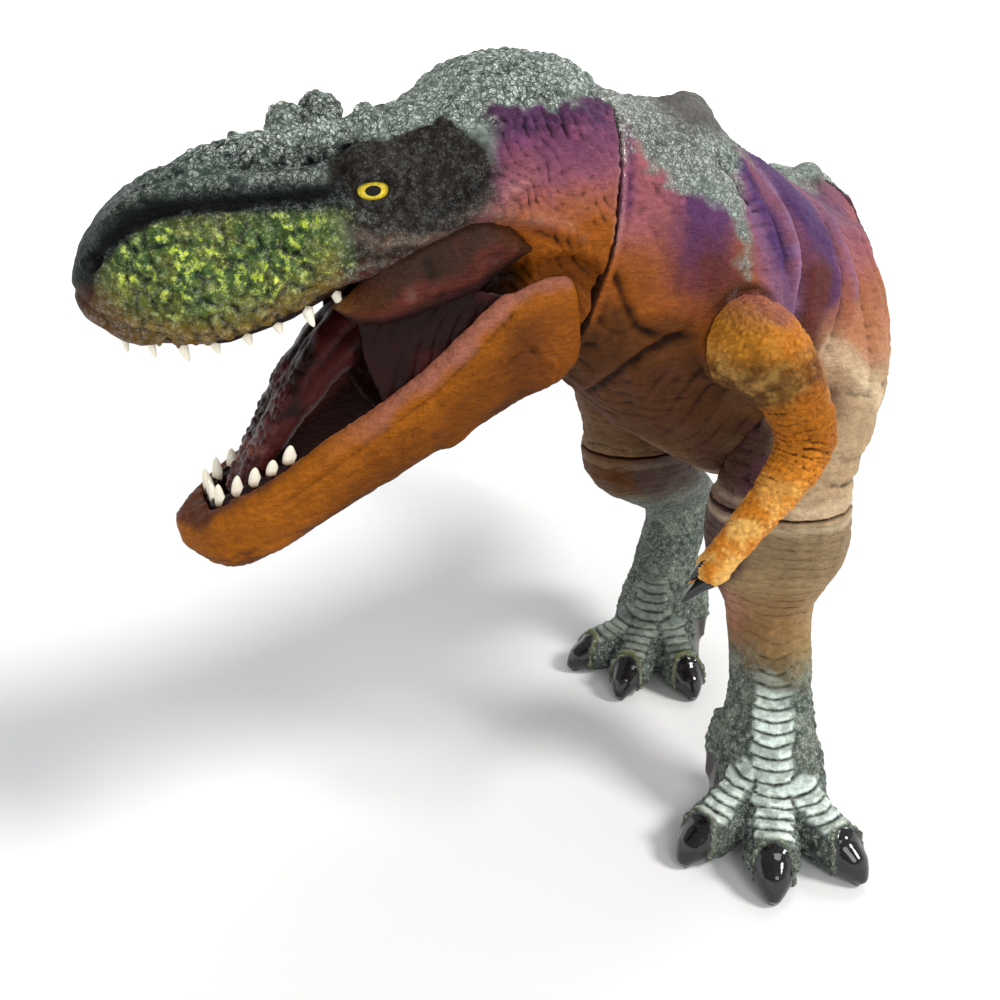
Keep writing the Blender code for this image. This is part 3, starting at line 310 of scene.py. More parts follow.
def makeSkinFinish():
    # Airbrushed vinyl: painted colour, the creases washed dark together with painted shade in hollows and
    # undersides, and a pale dry brush on the grains
    finish = Finish("painted_vinyl")
    paint = finish.attribute("paint", "Color")
    brush, washAndShade = finish.attribute("brush"), finish.attribute("washAndShade")
    shine, speck = finish.attribute("shine"), finish.attribute("speck")
    plate, crumb = finish.plates(skinFinish["plateSize"]), finish.plates(skinFinish["crumbSize"])
    fine = finish.noise(skinFinish["fineSize"], 4.0)
    blotch = finish.noise(7.0, 4.0)
    mottle = finish.noise(2.6, 5.0, 0.72)
    crease = finish.noise(skinFinish["creaseSize"], 4.0, 0.62, (1.0, 1.0, 2.6)).ramp(0.34, 0.62)
    leatherGrain = finish.grains(skinFinish["leatherSize"], "DISTANCE_TO_EDGE").ramp(0.0, 0.45)
    leather = crease * 0.7 + leatherGrain * 0.4
    # Lime flecks in drifts over leaf green on the muzzle
    drift = finish.noise(9.0, 3.0, 0.6).ramp(0.40, 0.62)
    colour = finish.mix(speck * blotch.ramp(0.38, 0.60) * 0.85, paint, tuple(paints["leaf"]))
    lime = mottle.ramp(0.51, 0.585) * speck * (0.12 + drift * 0.88)
    colour = finish.mix(lime, colour, tuple(paints["lime"]))
    colour = finish.mix((1 - mottle).ramp(0.56, 0.64) * speck * 0.8, colour, tuple(paints["snoutGreen"]))
    # Uneven spray, then the creases washed dark together with painted shade in hollows and undersides
    colour = finish.mix(blotch.ramp(0.30, 0.72) * 0.32, colour, (0.58, 0.56, 0.56), "MULTIPLY")
    colour = finish.mix(mottle.ramp(0.45, 0.72) * 0.30, colour, (0.66, 0.64, 0.62), "MULTIPLY")
    cracks = brush * (1 - plate * (0.55 + crumb * 0.45)) * 0.7
    colour = finish.mix(cracks, colour, (0.30, 0.32, 0.31), "MULTIPLY")
    colour = finish.mix((1 - brush) * (1 - crease) * 0.34, colour, (0.45, 0.40, 0.38), "MULTIPLY")
    colour = finish.mix(washAndShade.ramp(0.02, 1.0) * 0.9, colour, (0.12, 0.09, 0.09), "MULTIPLY")
    # The dry brush catches the tops only
    tops = brush * (0.25 + plate * 0.75) * (0.3 + crumb * 0.7) * mottle.ramp(0.38, 0.60)
    colour = finish.mix(tops * 0.85, colour, tuple(paints["greyPale"]))
    edge = finish.attribute("edge").ramp(0.15, 0.95) * (0.35 + mottle.ramp(0.3, 0.65) * 0.65)
    colour = finish.mix(edge * 0.6, colour, (1.65, 1.55, 1.48), "MULTIPLY")
    height = brush * (plate * 0.9 + crumb * 0.35) + (1 - brush) * leather * 0.9 + fine * 0.45 + mottle * 0.6
    relief = finish.bump(height, skinFinish["depth"])
    rough = skinFinish["roughness"] + fine * 0.16 - shine * 0.34
    return finish.shine(Base_Color=colour, Roughness=rough, Coat_Weight=shine.ramp(0.45, 0.95), Normal=relief,
                        Specular_IOR_Level=skinFinish["specular"], Coat_Roughness=0.08)


def makeWetFinish():
    # The mouth: dark paint under a glossy varnish
    finish = Finish("varnished_mouth")
    paint = finish.attribute("paint", "Color")
    washAndShade, shine = finish.attribute("washAndShade"), finish.attribute("shine")
    fine = finish.noise(1.6, 4.0)
    blotch = finish.noise(8.0, 4.0)
    colour = finish.mix(blotch.ramp(0.3, 0.7) * 0.45, paint, (0.45, 0.40, 0.40), "MULTIPLY")
    colour = finish.mix(washAndShade.ramp(0.05, 0.9) * 0.8, colour, (0.18, 0.14, 0.14), "MULTIPLY")
    relief = finish.bump(fine * 0.6 + finish.plates(2.2) * shine * 0.5, 0.35)
    return finish.shine(Base_Color=colour, Roughness=0.44 + fine * 0.12 - shine * 0.22,
                        Coat_Weight=shine * 0.12, Coat_Roughness=0.12, Normal=relief, Specular_IOR_Level=0.10)


def makeToothFinish():
    # Ivory paint, stained brown at the roots
    finish = Finish("painted_ivory")
    root = finish.attribute("root")
    streak = finish.noise(1.1, 4.0, 0.7)
    colour = finish.mix(root.ramp(0.1, 0.9) * 0.8 + streak.ramp(0.5, 0.8) * 0.22, tuple(paints["ivory"]),
                        tuple(paints["ivoryRoot"]))
    relief = finish.bump(streak + finish.noise(0.5, 2.0) * 0.3, 0.22)
    return finish.shine(Base_Color=colour, Roughness=0.30 + streak * 0.2, Normal=relief, Coat_Weight=0.35)


def makeEyeFinish():
    # A yellow iris round an oval black pupil, under a clear coat; the attribute is the angle from the gaze
    finish = Finish("painted_eye")
    ring = finish.attribute("ring")
    fibre = finish.noise(0.8, 4.0)
    iris = finish.mix(fibre.ramp(0.35, 0.7), tuple(tint(214, 178, 30)), tuple(tint(246, 226, 84)))
    colour = finish.mix(ring.ramp(0.42, 0.50), tuple(paints["black"]), iris)
    colour = finish.mix(ring.ramp(0.86, 0.98), colour, tuple(tint(26, 20, 12)))
    relief = finish.bump(fibre, 0.05)
    return finish.shine(Base_Color=colour, Roughness=0.25 + fibre * 0.08, Specular_IOR_Level=0.2,
                        Normal=relief)


def makePlugFinish():
    # Unpainted moulded plastic of the hidden swivel plugs and the jaw pin
    finish = Finish("moulded_plastic")
    cloud = finish.noise(6.0, 4.0)
    scuff = finish.noise(0.9, 3.0, 0.6, (1.0, 1.0, 6.0))
    colour = finish.mix(cloud.ramp(0.3, 0.7), tuple(tint(74, 70, 68)), tuple(tint(98, 93, 88)))
    colour = finish.mix(scuff.ramp(0.62, 0.8) * 0.5, colour, tuple(tint(150, 144, 136)))
    return finish.shine(Base_Color=colour, Roughness=0.38 + scuff * 0.25, Normal=finish.bump(scuff, 0.08))


print("finishes")
skin, wet, tooth, eyePaint, plugPlastic = (makeSkinFinish(), makeWetFinish(), makeToothFinish(),
                                           makeEyeFinish(), makePlugFinish())


# Dense copies of the moulded pieces

def keepPiece(item, body, nodes=()):
    # Hangs a finished piece on its body and says which moulded nodes it stands for
    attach(item, body)
    if nodes:
        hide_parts(*nodes)
    return item


def storeNumbers(mesh, name, values):
    layer = mesh.attributes.new(name, "FLOAT", "POINT")
    layer.data.foreach_set("value", np.asarray(values, np.float32))


def storeColours(mesh, name, values):
    layer = mesh.attributes.new(name, "FLOAT_COLOR", "POINT")
    rows = np.ones((len(values), 4), np.float32)
    rows[:, :3] = values
    layer.data.foreach_set("color", rows.ravel())


class Skin:
    # One moulded node as an even, dense net of points in its own millimetres
    def __init__(self, node, pitch):
        self.node, self.pitch = node, pitch * coarse
        mesh = frame["nodes"][node].data.copy()
        shape = bmesh.new()
        shape.from_mesh(mesh)
        bmesh.ops.remove_doubles(shape, verts=shape.verts, dist=1e-6)
        shape.to_mesh(mesh)
        shape.free()
        self.item = bpy.data.objects.new(node + "_skin", mesh)
        bpy.context.scene.collection.objects.link(self.item)
        even = self.item.modifiers.new("even", "REMESH")
        even.mode, even.voxel_size = "VOXEL", self.pitch * millimetre
        graph = bpy.context.evaluated_depsgraph_get()
        dense = bpy.data.meshes.new_from_object(self.item.evaluated_get(graph))
        self.item.modifiers.clear()
        self.item.data = dense
        bpy.data.meshes.remove(mesh)
        self.mesh = dense
        self.mesh.materials.clear()
        places = np.empty(len(dense.vertices) * 3, np.float32)
        dense.vertices.foreach_get("co", places)
        self.points = (places.reshape(-1, 3).astype(float) - ownOrigin) / millimetre
        pairs = np.empty(len(dense.edges) * 2, np.int64)
        dense.edges.foreach_get("vertices", pairs)
        pairs = pairs.reshape(-1, 2)
        both = np.concatenate([pairs, pairs[:, ::-1]])
        order = np.argsort(both[:, 0], kind="stable")
        self.beside = both[order, 1]
        self.counts = np.bincount(both[:, 0], minlength=len(self.points))
        self.starts = np.concatenate([[0], np.cumsum(self.counts)[:-1]])
        self.normals = self.findNormals()
        print(node, len(self.points), "points")

    def average(self, values):
        # Mean of each point's neighbours
        return np.add.reduceat(values[self.beside], self.starts, axis=0) / (
            self.counts[:, None] if values.ndim > 1 else self.counts)

    def relax(self, rounds, weight=1.0):
        # Rounds off the facets, as strongly as the weight says at each point
        pull = np.broadcast_to(weight, len(self.points))[:, None] * 0.6
        for turn in range(int(rounds / coarse ** 2)):
            self.points += pull * (self.average(self.points) - self.points)
        self.normals = self.findNormals()

    def spread(self, values, rounds):
        for turn in range(rounds):
            values = values + 0.6 * (self.average(values) - values)
        return values

    def findNormals(self):
        self.write()
        normals = np.empty(len(self.points) * 3, np.float32)
        self.mesh.vertex_normals.foreach_get("vector", normals)
        return normals.reshape(-1, 3).astype(float)

    def write(self):
        places = self.points * millimetre + ownOrigin
        self.mesh.vertices.foreach_set("co", places.astype(np.float32).ravel())
        self.mesh.update()

    def raisePoints(self, height):
        self.points += self.normals * height[:, None]
        self.normals = self.findNormals()

    def hollows(self):
        # Positive in a valley and negative on a ridge, from how far each point lies under its neighbours
        lean = np.einsum("ij,ij->i", self.average(self.points) - self.points, self.normals)
        return self.spread(lean, 2) / self.pitch

    def finish(self, material, colour, body, slotName, brush=0.0, shine=0.0, speck=0.0, washAndShade=0.0, edge=1.0):
        hollow = self.hollows()
        count = len(self.points)
        storeColours(self.mesh, "paint", np.clip(colour, 0, 1))
        storeNumbers(self.mesh, "brush", np.clip(np.broadcast_to(brush, count), 0, 1))
        storeNumbers(self.mesh, "shine", np.clip(np.broadcast_to(shine, count), 0, 1))
        storeNumbers(self.mesh, "speck", np.clip(np.broadcast_to(speck, count), 0, 1))
        # Dark crease attribute: creases washed dark by how far each point lies in a hollow, plus painted
        # shade passed in by the caller
        storeNumbers(self.mesh, "washAndShade", np.clip(hollow * 7.0 + washAndShade, 0, 1))
        storeNumbers(self.mesh, "edge", np.clip(-hollow * 9.0, 0, 1) * edge)
        self.mesh.materials.append(material)
        self.mesh.shade_smooth()
        return keepPiece(self.item, body, [self.node])


# Grids of two parameters

def gridPiece(grid, caps=True):
    # Joins rows of points into one closed surface; the grid is rows by points by three, in own millimetres
    rows, around = grid.shape[:2]
    index = np.arange(rows * around).reshape(rows, around)
    after = np.roll(index, -1, axis=1)
    faces = np.stack([index[:-1], after[:-1], after[1:], index[1:]], axis=-1).reshape(-1, 4).tolist()
    if caps:
        faces.append(index[0][::-1].tolist())
        faces.append(index[-1].tolist())
    return grid.reshape(-1, 3), faces


def buildPiece(name, parts, material, body, nodes=(), numbers=None):
    # Puts one or more closed surfaces into one mesh
    places, faces, start = [], [], 0
    for partPoints, partFaces in parts:
        places.append(partPoints)
        faces += [[start + corner for corner in face] for face in partFaces]
        start += len(partPoints)
    mesh = bpy.data.meshes.new(name)
    points = np.concatenate(places) * millimetre + ownOrigin
    mesh.from_pydata(points.tolist(), [], faces)
    for key, values in (numbers or {}).items():
        if values.ndim > 1:
            storeColours(mesh, key, values)
        else:
            storeNumbers(mesh, key, values)
    mesh.materials.append(material)
    shape = bmesh.new()
    shape.from_mesh(mesh)
    bmesh.ops.recalc_face_normals(shape, faces=shape.faces)
    shape.to_mesh(mesh)
    shape.free()
    mesh.shade_smooth()
    item = bpy.data.objects.new(name, mesh)
    bpy.context.scene.collection.objects.link(item)
    return keepPiece(item, body, nodes)


# Places in the head's own frame: sideways, forward and up from the middle between the mouth corners

headSpot = np.array((-40.0, -105.5, 238.3))
headYaw, headPitch = math.radians(-33.8), math.radians(3.3)
headTurn = np.array(Matrix.Rotation(headYaw, 3, "Z") @ Matrix.Rotation(headPitch, 3, "X"))


def toHead(points):
    local = (points - headSpot) @ headTurn
    return np.stack([local[:, 0], -local[:, 1], local[:, 2]], axis=1)


def fromHead(local):
    local = np.asarray(local, float)
    return headSpot + np.stack([local[..., 0], -local[..., 1], local[..., 2]], axis=-1) @ headTurn.T


def mirrored(points):
    return np.stack([np.abs(points[:, 0]), points[:, 1], points[:, 2]], axis=1)


seamTilt = math.radians(15.1)


def pastSeam(head):
    # Distance in front of the neck seam, in the head's frame
    return math.cos(seamTilt) * (head[:, 1] + 20) + math.sin(seamTilt) * (head[:, 2] - 6)


lipRows = np.array(((-37, -12), (-20, -14), (0, -9), (14, 8), (26, 12), (40, 8), (55, 2), (71, -1),
                    (85, -6.6), (105, -10.6), (121, -7.9), (132, -3.3), (139, 2.6), (142, 7.3)))
roofRows = np.array(((12.8, 27.7, 17.8), (29.8, 28.6, 24.4), (65.3, 27.9, 24.4), (85.2, 26.6, 17.8),
                     (105, 24.3, 9.9), (120, 19.3, 5.9), (128.5, 10.8, 4.6), (132, 3.9, 4.0)))


# Half of the step between the two edges of the neck seam, by the angle round the neck from straight sideways
seamSteps = np.array(((-90, 0), (-62, 3.0), (-45, 3.4), (-30, 2.8), (-15, 3.7), (0, 2.8), (15, 0.9),
                      (30, 0.0), (45, -2.0), (60, -3.1), (75, -1.8), (90, -0.3)))


def meetSeam(head, reach, sign):
    # Moves points near the neck seam in or out from the neck's middle line, so that both edges lie level
    distance = pastSeam(head) * sign
    level = (head[:, 2] - 6) * math.cos(seamTilt) - (head[:, 1] + 20) * math.sin(seamTilt) + 12
    angle = np.degrees(np.arctan2(level, np.abs(head[:, 0])))
    step = np.interp(angle, seamSteps[:, 0], seamSteps[:, 1]) * sign
    near = soft(reach - distance, 0, reach) * (distance > -1.5)
    radius = np.hypot(head[:, 0], level)
    near = near * soft(radius, 22, 30)
    outward = np.stack([head[:, 0], level * math.sin(-seamTilt), level * math.cos(seamTilt)], axis=1) / (
        radius[:, None] + 1e-6)
    return outward * (near * step)[:, None]


def insideMouth(head):
    # 1 on the faces of the mouth hollow and 0 on the outer skin
    side, forward, up = head.T
    half = np.interp(forward, roofRows[:, 0], roofRows[:, 1])
    roof = np.interp(forward, roofRows[:, 0], roofRows[:, 2])
    within = soft(half + 1.6 - np.abs(side), 0, 1.2) * soft(roof + 1.6 - up, 0, 1.2)
    return within * soft(forward, 10.5, 13.5) * soft(133.5 - forward, 0, 2.5)


def facingOut(normals, head):
    # How far a face in the head's frame looks away from the middle of the mouth
    side, forward = head[:, 0], np.clip(head[:, 1] - 85, 0, None)
    reach = np.hypot(side, forward) + 1
    return (normals[:, 0] * side + normals[:, 1] * forward) / reach


# Lines of the head's folds, each with its width and depth; negative depths stand out
headFolds = [
    ([(10, 135, 18), (13.5, 132, 24), (18, 122.5, 30.5), (20.5, 114, 33.5), (24, 104, 33), (27.5, 90, 32.5),
      (30, 77, 31.5), (31, 68, 31.5), (32, 60, 32)], 2.3, 2.4),
    ([(8, 134, 27), (14, 124, 35.5), (17, 114, 38.5), (21, 104, 38.2), (24.5, 90, 37.8), (27, 77, 37),
      (28.5, 66, 37.5), (29.5, 56, 40), (30, 46, 42.5)], 2.8, -2.0),
    ([(20, 84, 42), (23.7, 77, 41), (26, 67, 42.2), (24.5, 56, 43.5)], 1.9, 1.7),
    ([(32.5, 68, 21), (33.4, 59, 18.5), (34, 50, 16.5), (35, 40, 17.5), (36, 30, 21), (37, 18, 25.5),
      (37.5, 8, 29)], 3.0, -2.3),
    ([(33, 66, 14), (33.5, 55, 12), (35, 42, 12.5), (36.5, 28, 15.5), (37.5, 16, 19)], 2.2, 1.9),
    ([(34.5, 44, 22.5), (35.5, 35, 24), (36.5, 25, 29), (37, 15, 33)], 2.0, 1.6),
    ([(37, 22, 20), (37.3, 12, 19.5), (37.4, 2, 16), (37, -8, 10)], 2.8, -1.9),
    ([(37, 20, 15), (37.3, 10, 14), (37, 0, 10), (36.5, -8, 5)], 1.8, 1.5),
    ([(33, 90, 24), (32.5, 80, 16), (33, 72, 6)], 2.4, 1.4),
    ([(31, 98, 20), (33, 88, 12), (33, 82, 2)], 3.2, -1.0),
    ([(22, 118, 22), (27, 108, 18), (31, 98, 16), (33, 88, 19)], 1.8, 1.2),
    ([(16, 128, 14), (24, 116, 10), (30, 104, 6), (32, 94, 2)], 1.8, 0.9),
    ([(6, 138, 14), (8, 136, 5), (9, 134, 0)], 1.6, 0.8),
    ([(0, 120, 43), (0, 105, 46), (0, 90, 48)], 2.4, 1.2),
    ([(10, 112, 43), (11, 98, 46), (12, 84, 48), (13, 70, 49)], 3.0, -1.5),
    ([(4, 60, 52), (5, 45, 55), (6, 30, 59)], 2.6, 1.1),
]
neckWrinkles = {"lean": (0.85, -0.53), "spacing": 3.9, "depth": 0.95, "drift": 0.95}

print("head")
head = Skin("head_shell", 0.89)
local = toHead(head.points)
hollow = insideMouth(local)
browHold = 1 - np.where(local[:, 0] > 0, 0.1, 0.85) * np.exp(
    -(np.linalg.norm((mirrored(local) - (24, 63, 51)) / (9, 24, 11), axis=1)) ** 4)
seamHold = soft(pastSeam(local), 0.6, 3.5)
head.relax(26, (0.12 + 0.88 * seamHold) * browHold * (1 - 0.75 * hollow))
local = toHead(head.points)
nearBrow = soft(local[:, 0], 18, 24) * bell(local[:, 1] - 54, 11)
local[:, 2] -= 0.8 * nearBrow * np.clip(local[:, 2] - 51.5, 0, None)
head.points = fromHead(local + meetSeam(local, 15.0, 1.0))
local = toHead(head.points)
both = mirrored(local)
side, forward, up = local.T
headNormals = (head.normals @ headTurn) * (1, -1, 1)
inward = facingOut(headNormals, local)
aboveLip = up - np.interp(forward, lipRows[:, 0], lipRows[:, 1])
hollowEdge = np.maximum(soft(aboveLip, 4.0, 6.0), soft(-inward, 0.45, 0.75))
hollow = insideMouth(local) * soft(0.30 - inward, 0, 0.3) * hollowEdge
outer = 1 - hollow
lip = np.interp(forward, lipRows[:, 0], lipRows[:, 1])
overLip = up - lip
away = soft(pastSeam(local), 0.5, 4.0)
height = creases(both, headFolds)
height += 1.0 * bell(overLip - 2.2, 1.8) * soft(forward, 24, 40) * soft(np.abs(side), 6, 10)
height -= 0.7 * bell(overLip - 5.4, 1.5) * soft(forward, 60, 76)
muzzle = soft(forward, 66, 80) * soft(33 - up, 0, 6) * soft(overLip, 1, 4) * soft(138 - forward, 0, 14)
height += muzzle * (1.5 * pebbles(local, 6.0, 3) - 0.8 + 0.7 * noise(local, 9, 4, 2))
height += muzzle * 0.5 * (pebbles(local, 3.0, 5) - 0.5)
crown = soft(up, 34, 44)
height += crown * (0.8 * pebbles(local, 3.6, 7) - 0.4 + 1.0 * noise(local, 12, 8, 3))
knob = np.exp(-np.linalg.norm((local - (24, 58, 52)) / (8, 19, 8), axis=1) ** 2)
height -= 3.4 * knob
height += crown * soft(forward, 40, 60) * 0.7 * noise(local * (1.6, 0.7, 1.0), 7, 12, 2)
phase = forward * neckWrinkles["lean"][0] + up * neckWrinkles["lean"][1]
nape = soft(24 - forward, 0, 8) * soft(50 - up, 0, 6)
height += nape * neckWrinkles["depth"] * wrinkles(
    phase, local, neckWrinkles["spacing"], 21, neckWrinkles["drift"])
height += soft(62 - forward, 0, 8) * soft(up - 8, 0, 6) * (1 - crown) * 0.5 * wrinkles(
    up + 0.3 * forward, local, 5.2, 27)
eyeSpot = np.array((28.1, 54.7, 32.3))
eyeGap = np.linalg.norm(both - eyeSpot, axis=1)
nearEye = bell(eyeGap - 12.0, 2.4)
height = height * (1 - bell(eyeGap, 10)) + 1.2 * nearEye
nostril = np.linalg.norm((both - (11.5, 134.5, 21)) / (1, 1, 0.75), axis=1)
height += 1.0 * bell(nostril - 4.2, 1.3) - 2.6 * bell(nostril, 2.3)
height += 0.28 * noise(local, 4.0, 31, 2)
beads = bell(pastSeam(local) - 0.9, 1.3) * soft(up, -4, 10) * soft(42 - up, 0, 12)
height = height * outer * away + 0.5 * outer * beads * (0.4 + noise(local, 2.1, 33))
head.raisePoints(height)

blur = 3.0 * noise(local, 11, 41, 3)
fleckEdge = 2.2 * noise(local, 4, 44, 2)
grooveUp = np.interp(forward, (40, 62, 90, 104, 114, 122.5, 131, 136, 139),
                     (30, 32, 32.5, 33, 33.5, 31, 25, 16, 8))
colour = np.tile(paints["greyTop"], (len(local), 1))
colour = over(colour, "greyDark", soft(noise(local, 13, 45, 3), -0.35, 0.6) * 0.8)
colour = over(colour, "snoutGreen", soft(forward + blur, 66, 104) * 0.85)
colour = over(colour, "stripe", soft(forward + blur, 112, 134) * 0.55)
colour = over(colour, "stripe", soft(forward + blur, 38, 60) * soft(noise(local, 9, 47, 3), -0.4, 0.4) * 0.6)
# Muzzle flanks below the groove
flank = soft(forward + blur * 0.6, 62, 70) * soft(grooveUp + 0.6 * fleckEdge - up, 0, 2.5)
colour = over(colour, "olive", flank)
colour = over(colour, "leaf", flank * soft(noise(local, 12, 46, 3), -0.3, 0.4) * 0.7)
colour = over(colour, "lipOchre", flank * soft(18 + 1.4 * blur - overLip, 0, 12) * 0.8)
colour = over(colour, "brown", flank * soft(6.5 + fleckEdge - overLip, 0, 5) * 0.75)
colour = over(colour, "brown", soft(forward, 124, 137) * soft(17 + blur - up, 0, 9) * 0.75)
# Dark cheek under and in front of the eye, maroon towards the lip
cheek = soft(70 - forward + blur * 0.8, 0, 7) * soft(37 + fleckEdge - up, 0, 4) * soft(forward, 12, 20)
colour = over(colour, "cheekDark", cheek)
colour = over(colour, "cheek", cheek * soft(noise(local, 7, 53, 3), -0.1, 0.5) * 0.6)
colour = over(colour, "maroon", cheek * soft(12 + blur - overLip, 0, 10) * 0.9)
# Neck side: purple over mauve and rose down to orange
neckSide = soft(27 - forward + blur * 1.5, 0, 13) * soft(51 + fleckEdge * 1.3 - up, 0, 3.5)
colour = over(colour, "purple", neckSide)
colour = over(colour, "plum", neckSide * soft(46 + blur - up, 0, 6))
colour = over(colour, "mauve", neckSide * soft(43 + 1.5 * blur - up, 0, 13))
colour = over(colour, "rose", neckSide * soft(34 + 1.5 * blur - up, 0, 12) * 0.7)
colour = over(colour, "salmon", neckSide * soft(29 + 1.5 * blur - up, 0, 13))
colour = over(colour, "orange", neckSide * soft(17 + blur - up, 0, 8))
colour = over(colour, "deepOchre", neckSide * soft(7 + blur - up, 0, 8) * 0.7)
# Black-brown band from above the eye back towards the neck, its upper edge ragged against the grey
band = np.linalg.norm((both[:, 1:] - (37, 34)) / (21, 14.5), axis=1) + 0.22 * noise(local, 6, 51, 2)
eyeBand = soft(1.10 - band, 0, 0.12 + 0.5 * soft(32 - forward, 0, 16)) * soft(np.abs(side), 17, 22)
colour = over(colour, "eyeBand", eyeBand)
around = soft(15.5 + fleckEdge * 0.5 - eyeGap, 0, 3.5)
colour = over(colour, "eyeBand", around)
stripeGap = toLine(both, headFolds[0][0])[0]
colour = over(colour, "stripe", bell(stripeGap, 4.6) * 1.25)
slotGap = toLine(both, headFolds[2][0])[0]
colour = over(colour, "stripe", bell(slotGap, 3.4))
# Painted highlights along the two raised cheek folds
for row in (3, 6):
    foldGap = toLine(both, headFolds[row][0])[0]
    colour = over(colour, "cheekFoldHighlight", bell(foldGap, 2.0) * 0.5 * (0.45 + 0.8 * noise(local, 4, 52, 2)))
colour = over(colour, "black", bell(nostril, 2.6))
seamDark = soft(1.4 - pastSeam(local), 0, 0.9)
colour = over(colour, "darkSeam", seamDark * 0.85 * outer)
colour = over(colour, "mouthDark", hollow)
colour = over(colour, "cheekDark", soft(2.2 - overLip, 0, 1.5) * soft(forward, 14, 24) * 0.6 * outer)
grey = soft(up + fleckEdge, 42, 47) * (1 - eyeBand) * (1 - neckSide)
ridgeTop = soft(up - grooveUp, 1.5, 5) * soft(forward, 58, 70) * (1 - around) * soft(141 - forward, 0, 24)
brush = grey * (1 - 0.35 * soft(forward + blur, 50, 76)) + 0.5 * ridgeTop
brush = brush + 0.16 * cheek * (1 - eyeBand) + 0.22 * flank + 0.10 * eyeBand
brush = np.clip(brush, 0, 1) * outer
speck = flank * soft(overLip + blur * 1.6, 8, 22) * soft(grooveUp - up, 1, 5) * (1 - bell(stripeGap, 4.0))
speck = speck * soft(140 - forward, 2, 14)
shine = 0.10 * outer + 0.3 * flank + 0.85 * outer * beads + 0.3 * hollow + 0.25 * around
# Painted shade inside the mouth hollow goes into the dark crease attribute
head.finish(skin, colour, "head", "head_skin", brush=brush, shine=shine, speck=speck,
            washAndShade=0.25 * hollow, edge=1 - 0.6 * hollow)


# Lower jaw

jawRows = np.array(((-8, 0.0, -36.0, 34.8), (0, 1.5, -41.9, 37), (17, -2.9, -45.6, 36.3),
                    (28, -11.0, -50.0, 35.5), (45, -23.5, -55.9, 33.3), (61, -32.3, -62.5, 31.1),
                    (81, -42.6, -70.6, 28.1), (98, -51.5, -77.9, 25.9), (113.5, -58.1, -82.3, 21.5),
                    (122.5, -61.7, -80.1, 14.8), (129, -64.7, -73.5, 5.2)))
jawFolds = [
    ([(33, -3, -3), (35.5, 2, -12), (36.5, 4, -22), (36, 4, -32), (33, 8, -42)], 2.0, -1.6),
    ([(36.5, 8, -10), (37, 10, -22), (36, 12, -34)], 3.0, 1.2),
    ([(36, 18, -16), (34, 38, -30), (31.5, 58, -43), (29, 78, -54), (26, 96, -63)], 3.6, 1.0),
    ([(36, 22, -30), (34, 42, -42), (31, 60, -50)], 5.0, -1.2),
    ([(33, 30, -50), (31, 38, -49), (30, 44, -53)], 2.0, -2.2),
    ([(24, 100, -72), (16, 116, -77), (6, 124, -78)], 2.2, 0.9),
    ([(28, 88, -58), (24, 102, -66), (15, 116, -70), (4, 125, -71)], 2.0, 0.8),
]

print("jaw")
jaw = Skin("jaw_shell", 0.8)
local = toHead(jaw.points)
jaw.relax(18, 0.15 + 0.85 * soft(pastSeam(local), 1.0, 4.0))
local = toHead(jaw.points)
both = mirrored(local)
side, forward, up = local.T
rimUp = np.interp(forward, jawRows[:, 0], jawRows[:, 1])
half = np.interp(forward, jawRows[:, 0], jawRows[:, 3]) - 7.5
inside = soft(half + 1.2 - np.abs(side), 0, 1.6) * soft(118.5 - forward, 0, 2.5)
underRim = rimUp - up
outer = 1 - inside
away = soft(pastSeam(local), 0.8, 4.0) * soft(np.hypot(forward + 2, up + 11) - 16.5, 0, 3)
height = creases(both, jawFolds)
height += 1.3 * bell(underRim - 3.4, 3.0) * soft(forward, 6, 16) * soft(122 - forward, 0, 14)
height -= 1.0 * bell(underRim - 8.6, 1.8) * soft(forward, 6, 16) * soft(110 - forward, 0, 14)
height += 0.35 * wrinkles(forward, local, 3.4, 71) * soft(8 - underRim, 0, 4)
height += 0.5 * wrinkles(underRim + 0.25 * forward, local, 6.0, 73) * soft(underRim, 9, 14)
height += 0.45 * noise(local, 8, 75, 3) + 0.3 * (pebbles(local, 3.4, 76) - 0.5) * soft(forward, 90, 112)
jaw.raisePoints(height * away * (outer + 0.25 * inside))

blur = 2.6 * noise(local, 11, 81, 3)
colour = np.tile(paints["ochre"], (len(local), 1))
colour = over(colour, "deepOchre", soft(underRim + blur, 9, 20) * soft(104 - forward + blur, 0, 30) * 0.85)
# Painted shade: the jaw's downward faces darkened to brown
colour = over(colour, "brown", soft(-jaw.normals[:, 2] + 0.1 * blur, 0.25, 0.8) * 0.75)
colour = over(colour, "orange", soft(16 - forward + blur, 0, 12) * 0.5)
colour = over(colour, "brown", soft(underRim + blur, 6, 14) * bell(forward - 14, 9) * 0.5)
colour = over(colour, "rim", soft(8.6 + blur * 0.7 - underRim, 0, 4.5) * soft(88 - forward, 0, 40) * 0.8)
colour = over(colour, "maroon", soft(3.0 + blur * 0.5 - underRim, 0, 2.5) * soft(forward, 70, 100) * 0.8)
colour = over(colour, "brown", soft(4.0 + blur - underRim, 0, 4) * soft(forward, 70, 92) * 0.6)
colour = over(colour, "mouthRed", inside)
# Painted shade: darker deeper down inside the jaw
colour = over(colour, "mouthDark", inside * soft(underRim, 3, 12))
colour = over(colour, "darkSeam", soft(1.6 - pastSeam(local), 0, 1.0) * 0.8)
jaw.finish(skin, colour, "jaw", "jaw_skin", shine=0.25 * outer + 0.3 * inside, edge=0.6)


# Trunk, neck and thighs

